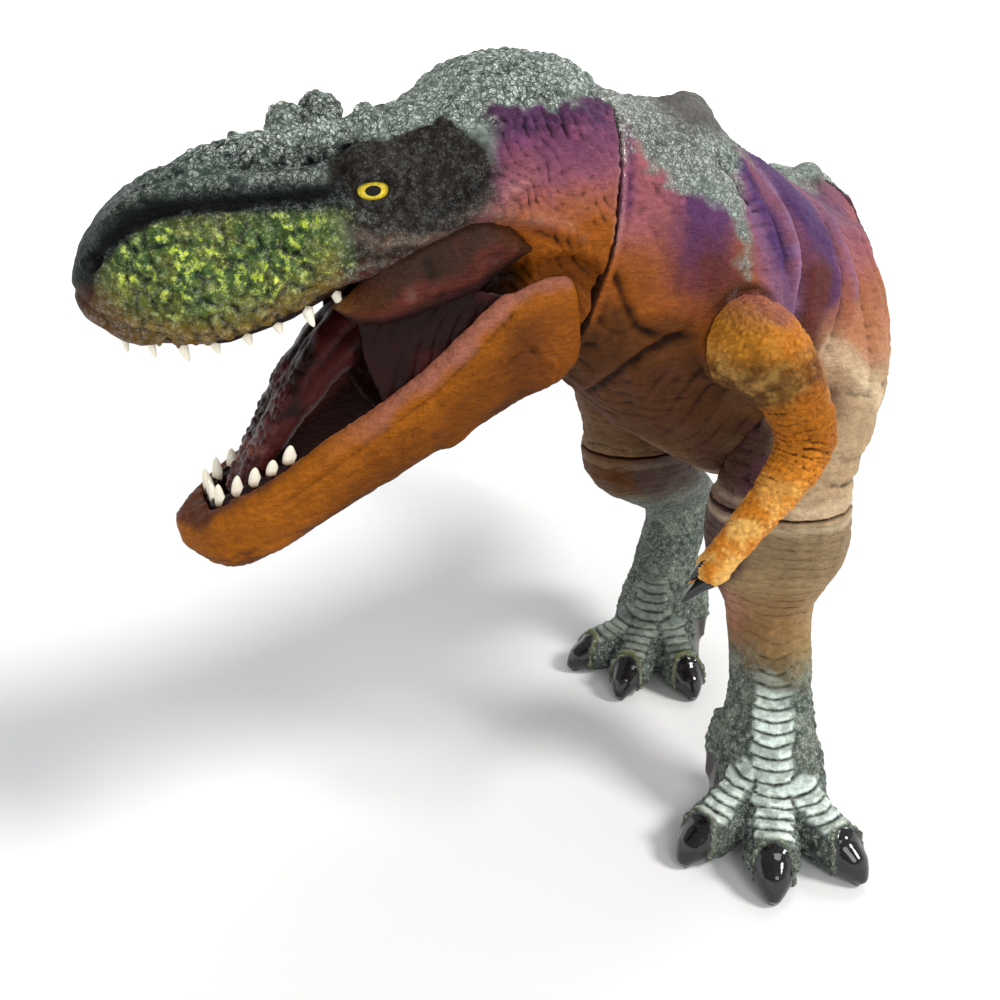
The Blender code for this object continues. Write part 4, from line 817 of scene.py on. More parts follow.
neckFolds = [  # in the head's frame
    ([(34.5, -20, -1), (37, -22, -9), (37.5, -24, -17), (37, -28, -25), (40, -40, -31),
      (46, -52, -28)], 2.0, 1.9),
    ([(0, -22, -58), (12, -22, -52), (28, -25, -42), (34, -32, -35), (40, -43, -30),
      (47, -54, -27)], 2.6, 2.8),
    ([(33, -24, -8), (33, -24, -18), (30, -24, -30), (26, -24, -40)], 2.2, 1.3),
    ([(27, -20, -12), (26, -20, -24), (22, -20, -38)], 2.0, 1.2),
    ([(19, -19, -20), (17, -19, -34), (14, -20, -46)], 2.0, 1.2),
    ([(9, -18, -26), (8, -18, -38), (6, -20, -50)], 2.0, 1.1),
    ([(39, -30, 20), (40, -34, 8), (41, -38, -4), (41, -42, -16)], 2.6, 1.0),
    ([(37, -38, 24), (39, -44, 10), (40, -50, -2)], 2.2, 0.9),
]
sideFolds = [  # along and up, on either side of the trunk
    ([(-64, 268), (-61, 260), (-60, 252)], 1.6, 1.6),
    ([(-50, 262), (-47, 246), (-48, 230), (-46, 216)], 2.4, 1.4),
    ([(-56, 262), (-53, 246), (-55, 230), (-57, 218)], 2.6, -1.1),
    ([(-28, 254), (-33, 238), (-40, 220), (-43, 203), (-40, 186)], 3.6, 3.2),
    ([(-38, 258), (-41, 240), (-46, 222)], 3.4, -1.3),
    ([(0, 244), (-9, 226), (-15, 208), (-24, 188), (-33, 166)], 2.8, 1.7),
    ([(18, 244), (9, 226), (3, 208), (-5, 190), (-16, 170)], 2.8, 1.5),
    ([(8, 248), (0, 230), (-6, 212), (-14, 194)], 4.0, -1.2),
    ([(34, 232), (28, 214), (20, 196), (8, 178)], 2.8, 1.4),
    ([(52, 230), (58, 218), (70, 208), (88, 202)], 3.0, 1.6),
    ([(46, 204), (44, 190), (36, 176)], 3.0, 1.6),
    ([(-34, 184), (-22, 178), (-6, 176), (10, 180)], 2.4, 1.2),
    ([(-40, 158), (-24, 153), (-8, 153)], 2.2, 1.2),
    ([(-46, 149), (-30, 145), (-14, 144)], 1.8, 1.1),
]


def innerThigh(points, normals):
    # The near thigh is fuller on its inner side than the moulded one, above and below the knee seam
    near = bell(points[:, 2] - 130, 42) * soft(points[:, 0], 8, 16) * soft(178 - points[:, 2], 0, 14)
    push = 7.0 * near * soft(-normals[:, 0], 0.0, 0.6)
    return np.stack([-push, np.zeros(len(points)), np.zeros(len(points))], axis=1)


def innerZone(points, normals):
    # 1 on the inner half of the near thigh and knee, whose edge runs forward of the leg's middle line
    edge = np.interp(points[:, 2], (78, 96, 112, 135, 172), (20, 26, 36, 43, 43))
    inside = soft(edge + 2.5 * noise(points, 12, 113, 2) - points[:, 0], 0, 7)
    return inside * (points[:, 0] > 6) * soft(0.75 - normals[:, 0], 0, 0.4) * soft(178 - points[:, 2], 0, 16)


print("trunk")
trunk = Skin("torso_shell", 1.25)
points = trunk.points
local = toHead(points)
seamHold = soft(-pastSeam(local), 0.6, 4.0)
shoulderOut = np.array((math.cos(math.radians(-25.5)), math.sin(math.radians(-25.5)), 0))
chest = np.array((-11.0, -50.0, 207.0))
tailWay = np.array((-0.25, 0.96, 0.08))
tailWay = tailWay / np.linalg.norm(tailWay)


def trunkHold(points, local):
    # 0 on the faces that meet a neighbour and 1 away from them
    shoulder = 47 - np.abs((points - chest) @ shoulderOut)
    seat = np.linalg.norm(np.cross(points - chest, shoulderOut), axis=1)
    landing = np.maximum(soft(np.abs(shoulder), 0.8, 4.0), soft(seat, 21, 25))
    knee = soft(points[:, 2] - 136, 0.6, 4.0)
    tail = soft(-(points - tailSeat) @ tailWay, 0.6, 4.0)
    return soft(-pastSeam(local), 0.6, 4.0) * landing * knee * tail


hold = trunkHold(points, local)
humpHold = 1 - 0.9 * soft(points[:, 2], 262, 272) * soft(
    11 - np.abs(points[:, 0] + 0.02 * points[:, 1]), 0, 4)
trunk.relax(34, (0.1 + 0.9 * hold) * humpHold)
local = toHead(trunk.points)
trunk.points = fromHead(local + meetSeam(local, 15.0, -1.0))
points = trunk.points
local = toHead(points)
hold = trunkHold(points, local)
x, y, z = points.T
normals = trunk.normals
facing = soft(np.abs(normals[:, 0]), 0.15, 0.5)
# The right thigh stands further back, so its folds are shifted with it
shift = np.where(x < 0, 37.0 * np.clip((235 - z) / 99, 0, 1), 0.0)
flat = np.stack([y - shift, z], axis=1)
height = creases(flat, sideFolds) * facing
height += creases(mirrored(local), neckFolds) * soft(-40 - y, 0, 20)
spine = soft(z - 256 + 0.12 * np.abs(y), 0, 14)
height += spine * (0.7 * pebbles(points, 3.8, 101) - 0.35 + 0.5 * noise(points, 12, 102, 3))
bandGap = toLine(flat, [(-66, 272), (-60, 255), (-61, 240), (-66, 225), (-73, 210)])[0]
crackBand = soft(12 - bandGap, 0, 5) * facing
height += crackBand * 0.75 * wrinkles(z, points, 3.7, 103)
throat = soft(-70 - y, 0, 10) * soft(232 - z, 0, 10)
height += throat * 0.9 * wrinkles(local[:, 0] * 0.9 + 0.4 * local[:, 1], points, 5.0, 104)
thighSkin = soft(y - shift, -30, -14) * soft(60 - y + shift, 0, 20) * soft(250 - z, 0, 10)
height += thighSkin * 0.7 * wrinkles(z + 0.35 * y, points, 6.4, 105)
height += soft(170 - z, 0, 12) * 0.9 * wrinkles(z + 0.08 * y, points, 5.0, 106)
belly = soft(-normals[:, 2], 0.2, 0.7) * soft(z, 150, 165)
height += belly * 1.3 * wrinkles(y + 0.2 * np.abs(x), points, 9.0, 107)
flankSkin = soft(y, 30, 45) * facing
height += flankSkin * 0.7 * wrinkles(0.8 * y + 0.4 * z, points, 6.0, 108)
height += 0.8 * noise(points, 18, 109, 2) + 0.3 * noise(points, 4.5, 110, 2)
muscle = bell(np.linalg.norm((flat - (-6, 200)) / (26, 40), axis=1), 1.0) * facing
height += 2.0 * muscle - 0.6
hump = np.exp(-np.linalg.norm((points - (0, -50, 279)) / (12, 19, 13), axis=1) ** 2)
horn = np.exp(-np.linalg.norm((points - (2, 116, 252)) / (9, 8, 12), axis=1) ** 2)
height = height * (1 - 0.8 * hump) * (1 - 0.6 * horn) + 6.5 * hump + 6.5 * horn
backFold = bell(np.abs(x), 22) * soft(y, 60, 80) * soft(150 - y, 0, 30) * soft(z, 236, 246)
height += 1.3 * backFold * wrinkles(y, points, 9.5, 112)
crotch = soft(-normals[:, 2], 0.1, 0.6) * bell(np.abs(x - 8), 20) * bell(y + 8, 42) * soft(190 - z, 0, 12)
height += 14.0 * crotch
seamGap = -pastSeam(local)
beads = bell(seamGap - 0.9, 1.3) * soft(local[:, 2], -6, 8) * soft(42 - local[:, 2], 0, 12)
trunk.raisePoints(height * hold + 0.5 * beads * (0.4 + noise(points, 2.1, 111)))
trunk.points += innerThigh(trunk.points, trunk.normals)
trunk.normals = trunk.findNormals()

blur = 4.0 * noise(points, 15, 121, 3)
ragged = 3.0 * noise(points, 5, 122, 2)
upness = z + blur
colour = np.tile(paints["tan"], (len(points), 1))
colour = over(colour, "peach", soft(upness + 0.25 * y, 172, 200))
colour = over(colour, "salmon", soft(upness, 196, 216) * 0.85)
colour = over(colour, "rose", soft(upness, 212, 228) * 0.8)
colour = over(colour, "mauve", soft(upness, 226, 240))


def patch(colour, name, line, width, strength, warp=0.5):
    # Lays a paint along a line on either flank, with a softly ragged edge
    gap = toLine(flat, line)[0]
    mask = np.clip(bell(np.clip(gap + warp * ragged, 0, None), width * 0.95) * 1.25, 0, 1)
    return over(colour, name, mask * facing * strength)


# Neck and chest
neck = soft(-62 - y + blur * 0.5, 0, 9)
colour = over(colour, "salmon", neck)
colour = over(colour, "rose", neck * soft(z + blur, 240, 256) * 0.9)
colour = over(colour, "orange", neck * soft(246 + blur - z, 0, 12) * 0.9)
colour = over(colour, "deepOchre", neck * soft(228 + blur - z, 0, 14) * 0.9)
colour = over(colour, "chest", neck * soft(212 + blur - z, 0, 14) * 0.9)
colour = over(colour, "plum", neck * bell(z - 188 + blur, 9) * 0.55)
# Airbrushed flank: lilac bands, deep violet bars, a maroon wedge of painted shade in the crease between arm
# and thigh, salmon behind
colour = patch(colour, "lilac", [(-58, 254), (-55, 236), (-53, 214), (-50, 200)], 7.5, 0.7)
colour = patch(colour, "violet", [(-54, 250), (-50, 230), (-47, 212)], 5.0, 0.5)
colour = patch(colour, "violet", [(-80, 254), (-84, 246), (-86, 238)], 11, 0.85)
colour = patch(colour, "maroon", [(-84, 234), (-78, 228), (-74, 218)], 9, 0.9)
colour = patch(colour, "violet", [(-54, 268), (-51, 254), (-51, 236)], 5.0, 1.0)
colour = patch(colour, "violet", [(-24, 262), (-16, 246), (-22, 228), (-27, 220)], 13, 0.95, 1.0)
# Maroon wedge in the crease between arm and thigh: painted shade
colour = patch(colour, "maroon", [(-29, 224), (-36, 206), (-38, 190), (-34, 180)], 8.5, 0.95)
colour = patch(colour, "lilac", [(-36, 262), (-37, 246), (-42, 232), (-44, 214)], 3.6, 0.9)
colour = patch(colour, "violet", [(22, 250), (34, 244), (52, 240)], 9, 0.55, 1.0)
colour = patch(colour, "violet", [(78, 240), (92, 238), (108, 232)], 8, 0.6, 1.0)
colour = patch(colour, "lilac", [(6, 246), (0, 230), (-4, 214)], 4.5, 0.45)
colour = patch(colour, "cream", [(-20, 196), (-14, 184), (-6, 172)], 5, 0.45)
# Grey granular saddle over the neck top, with one drape down the shoulder
saddleRise = z - 266 - 0.3 * np.clip(-72 - y, 0, 24) + 1.4 * ragged + 0.05 * np.abs(y)
saddle = soft(saddleRise, 0, 10) * soft(60 - y, 0, 40)
drapeFront = np.interp(z, (210, 225, 240, 250, 256, 262, 270), (-78, -77, -73, -77, -84, -91, -98))
drapeBack = np.interp(z, (210, 225, 240, 250, 262, 270), (-72, -70, -64, -61, -56, -40))
drape = soft(y - drapeFront + ragged, 0, 7) * soft(drapeBack - y + ragged, 0, 7) * soft(z, 214, 236)
grey = np.clip(np.maximum(saddle, drape * facing), 0, 1)
colour = over(colour, "greyTop", grey * 0.85)
colour = over(colour, "greyDark", grey * soft(noise(points, 16, 123, 3), -0.2, 0.6) * 0.5)
colour = over(colour, "humpGrey", soft(hump, 0.04, 0.45) * 0.9)
rumpGrey = soft(z - 245 + 0.02 * y + ragged, 0, 6) * soft(y, 10, 40)
colour = over(colour, "humpGrey", rumpGrey * 0.8)
colour = over(colour, "greyDark", horn * 0.8)
spineGap = np.abs(x + 8 * (y - 60) / 68) + 0.8 * ragged
spineBand = soft(15 - spineGap, 0, 8) * soft(y, 46, 84) * soft(normals[:, 2], 0.3, 0.6)
colour = over(colour, "greyTop", spineBand * 0.75)
# Painted shade on the underside, the inner thighs and the far leg
# Belly colour on the faces that look down, dark as painted shade
under = soft(-normals[:, 2] + 0.04 * blur, 0.0, 0.5) * soft(z, 150, 168)
colour = over(colour, "belly", under * 0.95)
# Painted shade on the inner faces of the thighs, strongest on the near one
inner = soft(-np.sign(x) * normals[:, 0] + 0.02 * blur, 0.05, 0.5) * soft(206 - z, 0, 14)
colour = over(colour, "paintedShade", inner * np.where(x > 0, 0.95, 0.35))
# Painted shade over the inner half of the near thigh and knee, with plum mottled through it
shade = innerZone(points, normals)
colour = over(colour, "paintedShade", shade * 0.95)
plumShade = np.clip(shade + inner * (x > 0), 0, 1) * 0.35 * soft(noise(points, 9, 124, 2), -0.2, 0.5)
colour = over(colour, "plum", plumShade)
# Painted shade: dark belly colour in the crotch between the legs
crotchShade = bell(x - 2, 24) * soft(178 - z, 0, 12)
colour = over(colour, "belly", crotchShade * 0.9)
# Painted shade: dark belly colour on the far (right) thigh
farSideShade = soft(-x, 6, 22) * soft(200 - z, 0, 16) * soft(normals[:, 0] - normals[:, 1] + 0.6, 0, 0.6)
colour = over(colour, "belly", farSideShade * 0.85)
# Two painted highlights: small pale spots on the dark inner thigh
for glintSpot in ((9.5, -12, 161), (15, -22, 145)):
    colour = over(colour, "pale", soft(5.4 - np.linalg.norm(points - glintSpot, axis=1), 0, 1.5) * 0.95)
# Cream line along the knee seam; the far (right) side is kept faint as painted shade
kneeLine = bell(z - 139.5, 2.2) * np.where(x > 0, 1, 0.2)
colour = over(colour, "cream", kneeLine * 0.3)
colour = over(colour, "darkSeam", soft(0.9 - seamGap, 0, 0.6) * 0.85)
# Plum band just behind the neck seam: painted shadow of the seam groove
band = bell(seamGap - 3.0, 2.6) * soft(local[:, 2], 10, 18) * soft(46 - local[:, 2], 0, 10)
colour = over(colour, "plum", band * 0.9)
colour = over(colour, "darkSeam", soft(137.0 - z, 0, 0.7) * 0.7)
brush = grey * (0.80 - 0.7 * soft(hump, 0.04, 0.5)) + 0.6 * spineBand
# Painted shade under the belly also goes into the dark crease attribute
trunk.finish(skin, colour, "torso", "body_skin", brush=brush, shine=0.16 + 0.8 * beads, washAndShade=0.25 * under)


# Limbs

# The right leg is the far one: its grey-green band reaching higher up the shin is painted shade
footSettings = {
    "left": {"spot": (46.4, -48.4), "yaw": 21.3, "mirror": 1.0, "grey": (58, 78), "scuteTop": 84},
    "right": {"spot": (-44.7, 51.5), "yaw": 3.9, "mirror": -1.0, "grey": (92, 124), "scuteTop": 56},
}
# Top of each toe in the foot's frame: sideways, forward and up
middleToe = [(0, 0, 84), (0, 4, 68), (0, 15, 51), (0, 24, 38), (0, 31, 27), (0, 44, 22), (0, 53, 20)]
toeRun = (10.7, 53.5)  # where a side toe starts and how long it is
toeHeights = ((0.10, 30), (0.35, 26), (0.60, 21.5), (0.75, 19.5))
toeAngle = 41.0
scutes = {"pitch": 4.9, "height": 1.15, "half": 7.2}


def sideToe(turn):
    # Points along the top of a toe turned outward from the middle one
    angle = math.radians(toeAngle) * turn
    rows = [(0, 6, 44)]
    for share, up in toeHeights:
        reach = share * toeRun[1]
        rows.append((math.sin(angle) * reach, toeRun[0] + math.cos(angle) * reach, up))
    return rows


def toeAxis(turn):
    # The direction of a toe turned outward from the middle one, and its length
    angle = math.radians(toeAngle) * turn
    length = 56.3 if turn == 0 else toeRun[1]
    ahead = np.array((math.sin(angle), math.cos(angle)))
    return ahead, length


def makeLeg(name):
    settings = footSettings[name]
    mirror = settings["mirror"]
    leg = Skin(name + "_leg", 0.9)
    spot = np.array((*settings["spot"], 0))
    turn = np.array(Matrix.Rotation(math.radians(settings["yaw"]), 3, "Z"))

    def toFoot(points):
        foot = (points - spot) @ turn
        return np.stack([foot[:, 0] * mirror, -foot[:, 1], foot[:, 2]], axis=1)

    foot = toFoot(leg.points)
    clawed = np.zeros(len(foot))
    for turnShare in (-1, 0, 1):
        ahead, length = toeAxis(turnShare)
        along = (foot[:, :2] - (0, toeRun[0])) @ ahead / length
        clawed = np.maximum(clawed, soft(along, 0.72, 0.80) * (foot[:, 2] < 46))
    knee = soft(136 - foot[:, 2], 0.8, 4.0)
    sole = soft(foot[:, 2], 0.3, 2.0)
    leg.relax(16, (0.1 + 0.9 * knee) * (1 - 0.75 * clawed) * (0.3 + 0.7 * sole))
    foot = toFoot(leg.points)
    points = leg.points
    sideways, forward, up = foot.T
    normals = leg.normals
    claw, cuticle, plate, mint = (np.zeros(len(foot)) for _ in range(4))
    for turnShare in (-1, 0, 1):
        ahead, length = toeAxis(turnShare)
        along = (foot[:, :2] - (0, toeRun[0])) @ ahead / length
        across = np.abs((foot[:, 0]) * ahead[1] - (foot[:, 1] - toeRun[0]) * ahead[0])
        near = soft(13.5 - across, 0, 2) * soft(46 - up, 0, 3)
        arc = along - 0.0016 * across ** 2 - 0.004 * np.clip(12 - up, 0, 12)
        claw = np.maximum(claw, soft(arc, 0.735, 0.765) * near)
        cuticle = np.maximum(cuticle, bell((arc - 0.715) * length, 1.5) * near)
        line = middleToe if turnShare == 0 else sideToe(turnShare)
        gap, share = toLine(foot, line)
        total = np.linalg.norm(np.diff(np.array(line, float), axis=0), axis=1).sum()
        run = share * total / scutes["pitch"] + 0.12 * noise(foot, 6, 131) + 0.02 * gap ** 1.5
        ramp = run % 1.0
        scale = np.where(ramp < 0.82, ramp / 0.82, (1 - ramp) / 0.18) ** 0.7
        half = scutes["half"] * (1.0 if turnShare == 0 else 0.82)
        on = soft(half + 2.0 + 1.6 * noise(foot, 3.5, 136, 2) - gap, 0, 2.4)
        on = on * soft(1 - share, 0, 0.03) * soft(share, 0.02, 0.12) * soft(settings["scuteTop"] - up, 0, 16)
        plate = np.where(on > mint, scale, plate)
        mint = np.maximum(mint, on)
    # The spur on the inner side of the ankle
    start = np.array((-13.2, -2.0, 38.2))
    way = np.array((-0.42, 0.30, -0.86)) * 30
    reach = (foot - start) @ way / (way @ way)
    spurGap = np.linalg.norm(foot - start - np.clip(reach, 0, 1)[:, None] * way, axis=1)
    spur = soft(11.5 - spurGap, 0, 1.5) * soft(reach, 0.05, 0.25)
    spurClaw = spur * soft(reach, 0.60, 0.66)
    claw = np.maximum(claw, spurClaw)
    mint = mint * (1 - claw) * (1 - spur)
    height = scutes["height"] * mint * (plate - 0.25)
    height += 0.9 * cuticle * (1 - claw) - 0.7 * claw * 0.5
    shinSkin = soft(up, 42, 60) * (1 - mint)
    height += shinSkin * 0.8 * wrinkles(up + 0.12 * sideways, points, 4.6, 132)
    height += (1 - claw) * (1 - mint) * soft(60 - up, 0, 14) * (1.0 * pebbles(points, 4.2, 133) - 0.5)
    height += (1 - claw) * 0.5 * noise(points, 9, 134, 3)
    height += spur * (1 - spurClaw) * 0.6 * wrinkles(reach * 30, points, 3.6, 135)
    height += 1.6 * bell(up - 112, 12) * bell(sideways - 4, 14) * soft(normals[:, 1], -0.2, 0.5)
    leg.raisePoints(height * knee * sole)
    if name == "left":
        leg.points += innerThigh(leg.points, leg.normals)
        leg.normals = leg.findNormals()

    blur = 5.0 * noise(points, 14, 141, 3)
    low, high = settings["grey"]
    # The far (right) leg is a shaded copy of the near one, as painted shade: dark belly brown instead of tan,
    # less shin colour, no knee tint, faint mint and cream, more olive at the toe ends
    isNear = name == "left"
    inward = -normals[:, 0] * mirror
    colour = np.tile(paints["tan" if isNear else "belly"], (len(points), 1))
    colour = over(colour, "shin", soft(126 + blur - up, 0, 30) * (0.95 if isNear else 0.3))
    if isNear:
        colour = over(colour, "knee", bell(up - 120, 22) * 0.9)
    colour = over(colour, "olive", soft(88 + blur - up, 0, 22) * 0.45)
    colour = over(colour, "deepOchre", soft(104 + blur - up, 0, 26)
                  * soft(0.1 - normals[:, 1], 0, 0.8) * 0.45)
    # Painted shade on the inner faces of the thigh
    colour = over(colour, "paintedShade", soft(inward, 0.2, 0.7) * soft(up, 86, 104) * 0.9)
    if isNear:
        # Painted shade over the inner half of the near thigh and knee
        colour = over(colour, "paintedShade", innerZone(points, normals) * 0.9)
    # A pink painted highlight on the inner shin
    colour = over(colour, "pink", bell(inward - 0.55, 0.3) * bell(up - 84, 12) * 0.6)
    foggy = soft(high + blur - up, 0, high - low)
    colour = over(colour, "footGreen", foggy)
    colour = over(colour, "footPale", foggy * soft(noise(points, 8, 142, 3), 0.0, 0.6) * 0.5)
    colour = over(colour, "greyDark", foggy * soft(46 - up + blur, 0, 20) * (1 - mint) * 0.75)
    fade = soft(70 + blur * 1.4 - up, 0, 22)
    # Mint scutes faint on the far leg as painted shade
    strength = 0.95 if isNear else 0.22
    worn = 0.55 + 0.45 * soft(noise(points, 3, 143, 3), -0.4, 0.15)
    colour = over(colour, "mint", mint * fade * soft(plate, 0.15, 0.5) * strength * worn)
    colour = over(colour, "greyDark", mint * fade * soft(0.20 - plate, 0, 0.2) * 0.7)
    toeEnds = cuticle * (1 - claw)
    colour = over(colour, "olive", toeEnds * (0.3 if isNear else 0.8))
    colour = over(colour, "footPale", spur * (1 - spurClaw) * 0.3)
    colour = over(colour, "black", claw)
    colour = over(colour, "maroon", spurClaw * 0.12)
    lipLine = bell(up - 131.5, 2.2)
    colour = over(colour, "cream", lipLine * (0.35 if isNear else 0.1))
    colour = over(colour, "darkSeam", soft(up - 134.8, 0, 0.6) * 0.6)
    dark = (1 - mint) * foggy * (1 - claw)
    leg.finish(skin, colour, name + "_leg", "leg_skin", brush=0.45 * dark,
               shine=0.2 * mint + 0.78 * claw + 0.14, edge=1 - 0.7 * claw)


print("legs")
for legName in footSettings:
    makeLeg(legName)

armPath = {"rows": ((0, 0, 0), (7.7, 0, -0.4), (15, -1.7, -5.6), (21, -6.5, -17.2), (24, -10.3, -32.7),
                    (22.8, -2.6, -46.4), (19.8, 9.5, -60.2), (15.9, 20.6, -74), (13.8, 27.5, -81.7),
                    (12.9, 31, -86)),
           "raise": {"left": 0.0, "right": 40.0}}


def makeArm(name):
    mirror = 1.0 if name == "left" else -1.0
    arm = Skin(name + "_arm", 0.55)
    seam = chest + shoulderOut * 47 * mirror
    outward = shoulderOut * mirror
    ahead = np.array((shoulderOut[1], -shoulderOut[0], 0))
    lift = np.array(Matrix.Rotation(-math.radians(armPath["raise"][name]), 3, Vector(shoulderOut)))
    frameRows = np.stack([outward, ahead, np.array((0, 0, 1.0))]) @ lift.T

    def toArm(points):
        return (points - seam) @ frameRows.T

    near = toArm(arm.points)
    hold = soft(near[:, 0], 0.8, 3.5)
    tip = soft(-near[:, 2] + near[:, 1] * 0.3, 84, 90)
    arm.relax(12, (0.1 + 0.9 * hold) * (1 - 0.85 * tip))
    near = toArm(arm.points)
    gap, share = toLine(near, armPath["rows"])
    palm = soft(share, 0.86, 1.0)
    wrist = np.array(armPath["rows"][7], float)
    near = near + (wrist - near) * (palm * 0.42)[:, None]
    arm.points = seam + near @ frameRows
    arm.normals = arm.findNormals()
    points = arm.points
    out, front, up = near.T
    height = 0.7 * wrinkles(share * 125, points, 4.4, 151) * (1 - 0.6 * bell(share - 0.8, 0.2))
    height = height * soft(share, 0.05, 0.3)
    height += 0.9 * wrinkles(share * 125, points, 3.2, 152) * bell(share - 0.42, 0.08)
    height += 1.2 * bell(np.linalg.norm((near - (26, -11, -33)) / (8, 8, 9), axis=1), 1.0)
    height += 0.45 * noise(points, 6, 153, 3) + 0.35 * (pebbles(points, 2.6, 154) - 0.5)
    twist = np.cos(np.arctan2(front, out) * 2 + share * 5)
    height += 0.9 * bell(gap, 30) * twist * soft(share, 0.5, 0.7) * 0.5
    arm.raisePoints(height * hold)
    blur = 0.05 * noise(points, 10, 155, 3)
    colour = np.tile(paints["armOrange"], (len(points), 1))
    lift = points[:, 2] - seam[2]
    colour = over(colour, "ochre", soft(0.52 + blur - share, 0, 0.12) * soft(share, 0.06, 0.2) * 0.8)
    colour = over(colour, "chest", soft(0.30 + blur - share, 0, 0.1)
                  * soft(-2 - lift - front * 0.3, -6, 6) * 0.75)
    colour = over(colour, "salmon", soft(lift + 90 * blur, 2, 18) * 0.7)
    chestSide = soft(front + 60 * blur, -2, 12) * soft(0.36 - share, 0, 0.16)
    colour = over(colour, "olive", chestSide * 0.3)
    colour = over(colour, "chest", chestSide * soft(4 - lift, 0, 12) * 0.8)
    colour = over(colour, "plum", soft(lift + 90 * blur, 9, 20) * 0.45)
    light = soft(share + blur, 0.46, 0.70) * soft(noise(points, 7, 156, 3), -0.7, 0.5)
    colour = over(colour, "armYellow", light * 0.9)
    colour = over(colour, "armYellow", soft(noise(points, 8, 157, 3), -0.2, 0.9) * bell(lift + 8, 9) * 0.4)
    # Painted shade: faces that turn in towards the body darkened to brown
    colour = over(colour, "brown", soft(-out * 0.03 - arm.normals @ outward, 0.1, 1.0) * 0.55)
    colour = over(colour, "darkSeam", soft(0.8 - out, 0, 0.5) * 0.6)
    arm.finish(skin, colour, name + "_arm", "arm_skin", shine=0.28)
    # Two hooked claws: rings that narrow along a bent line
    run = np.linspace(0, 1, 16)
    turn = np.linspace(0, 2 * math.pi, 16, endpoint=False)
    horns = []
    for drop, length in ((-72.5, 12.0), (-79.0, 16.0)):
        middle = np.stack([15.5 - 5.0 * run ** 1.4, 21.0 + length * 0.95 * run - 3.0 * run ** 2,
                           drop - length * 0.35 * run - 4.5 * run ** 2], axis=1)
        thick = 4.0 * np.sqrt(np.clip(1 - run, 0, 1)) * (1 - 0.3 * run) + 0.12
        way = np.gradient(middle, axis=0)
        way /= np.linalg.norm(way, axis=1)[:, None]
        first = np.cross(way, (0, 1.0, 0))
        first /= np.linalg.norm(first, axis=1)[:, None]
        second = np.cross(way, first)
        grid = middle[:, None] + thick[:, None, None] * (
            first[:, None] * np.cos(turn)[None, :, None] + second[:, None] * np.sin(turn)[None, :, None])
        horns.append(gridPiece(seam + grid @ frameRows))
    count = sum(len(part[0]) for part in horns)
    numbers = {"paint": np.tile(paints["black"], (count, 1)), "brush": np.zeros(count),
               "shine": np.ones(count), "speck": np.zeros(count), "washAndShade": np.zeros(count),
               "edge": np.zeros(count)}
    buildPiece(name + "_hand_claws", horns, skin, name + "_arm", (), numbers)


print("arms")
for armName in ("left", "right"):
    makeArm(armName)

tailPath = ((-8, 128, 215), (-20, 164.8, 218.8), (-46, 200.5, 225.6), (-85, 228, 235.2), (-130, 240.7, 245.2),
            (-172, 243, 254.4), (-208, 237.3, 263))


def makeTail():
    tail = Skin("tail", 1.05)
    ahead = (tail.points - tailSeat) @ tailWay
    tail.relax(26, 0.1 + 0.9 * soft(ahead, 0.8, 4.0) * soft(tail.points[:, 0] + 208, 0, 25))
    points = tail.points
    gap, share = toLine(points, tailPath)
    hold = soft((points - tailSeat) @ tailWay, 0.8, 4.0)
    thin = 1 - 0.75 * share
    normals = tail.normals
    length = share * 262
    height = thin * 0.9 * wrinkles(length, points, 6.2, 161)
    crest = soft(normals[:, 2], 0.75, 0.98)
    height += thin * crest * 2.4 * np.clip(np.sin(length * 2 * math.pi / 17.0), 0, 1) ** 0.8
    height += thin * (0.7 * (pebbles(points, 4.6, 162) - 0.5) + 0.5 * noise(points, 12, 163, 3))
    tail.raisePoints(height * hold)
    blur = 0.12 * noise(points, 15, 164, 3)
    level = normals[:, 2] + blur
    colour = np.tile(paints["mauve"], (len(points), 1))
    colour = over(colour, "pink", soft(0.15 - level, 0, 0.4))
    colour = over(colour, "peach", soft(-0.15 - level, 0, 0.4))
    colour = over(colour, "belly", soft(-0.6 - level, 0, 0.3) * 0.6)
    bars = np.sin(length * 2 * math.pi / 27.0 + 9 * blur)
    colour = over(colour, "violet", soft(level, -0.15, 0.3) * soft(bars, -0.2, 0.6) * 0.9)
    colour = over(colour, "lilac", soft(level, -0.1, 0.3) * soft(-bars, 0.4, 0.9) * 0.6)
    grey = soft(level + 0.9 * blur, 0.55, 0.85)
    colour = over(colour, "greyTop", grey)
    colour = over(colour, "greyDark", soft(share, 0.72, 1.0) * 0.75)
    colour = over(colour, "darkSeam", soft(1.6 - (points - tailSeat) @ tailWay, 0, 1.0) * 0.7)
    tail.finish(skin, colour, "tail", "tail_skin", brush=grey * 0.9 + 0.12, shine=0.16)


print("tail")
makeTail()


# Inside of the mouth

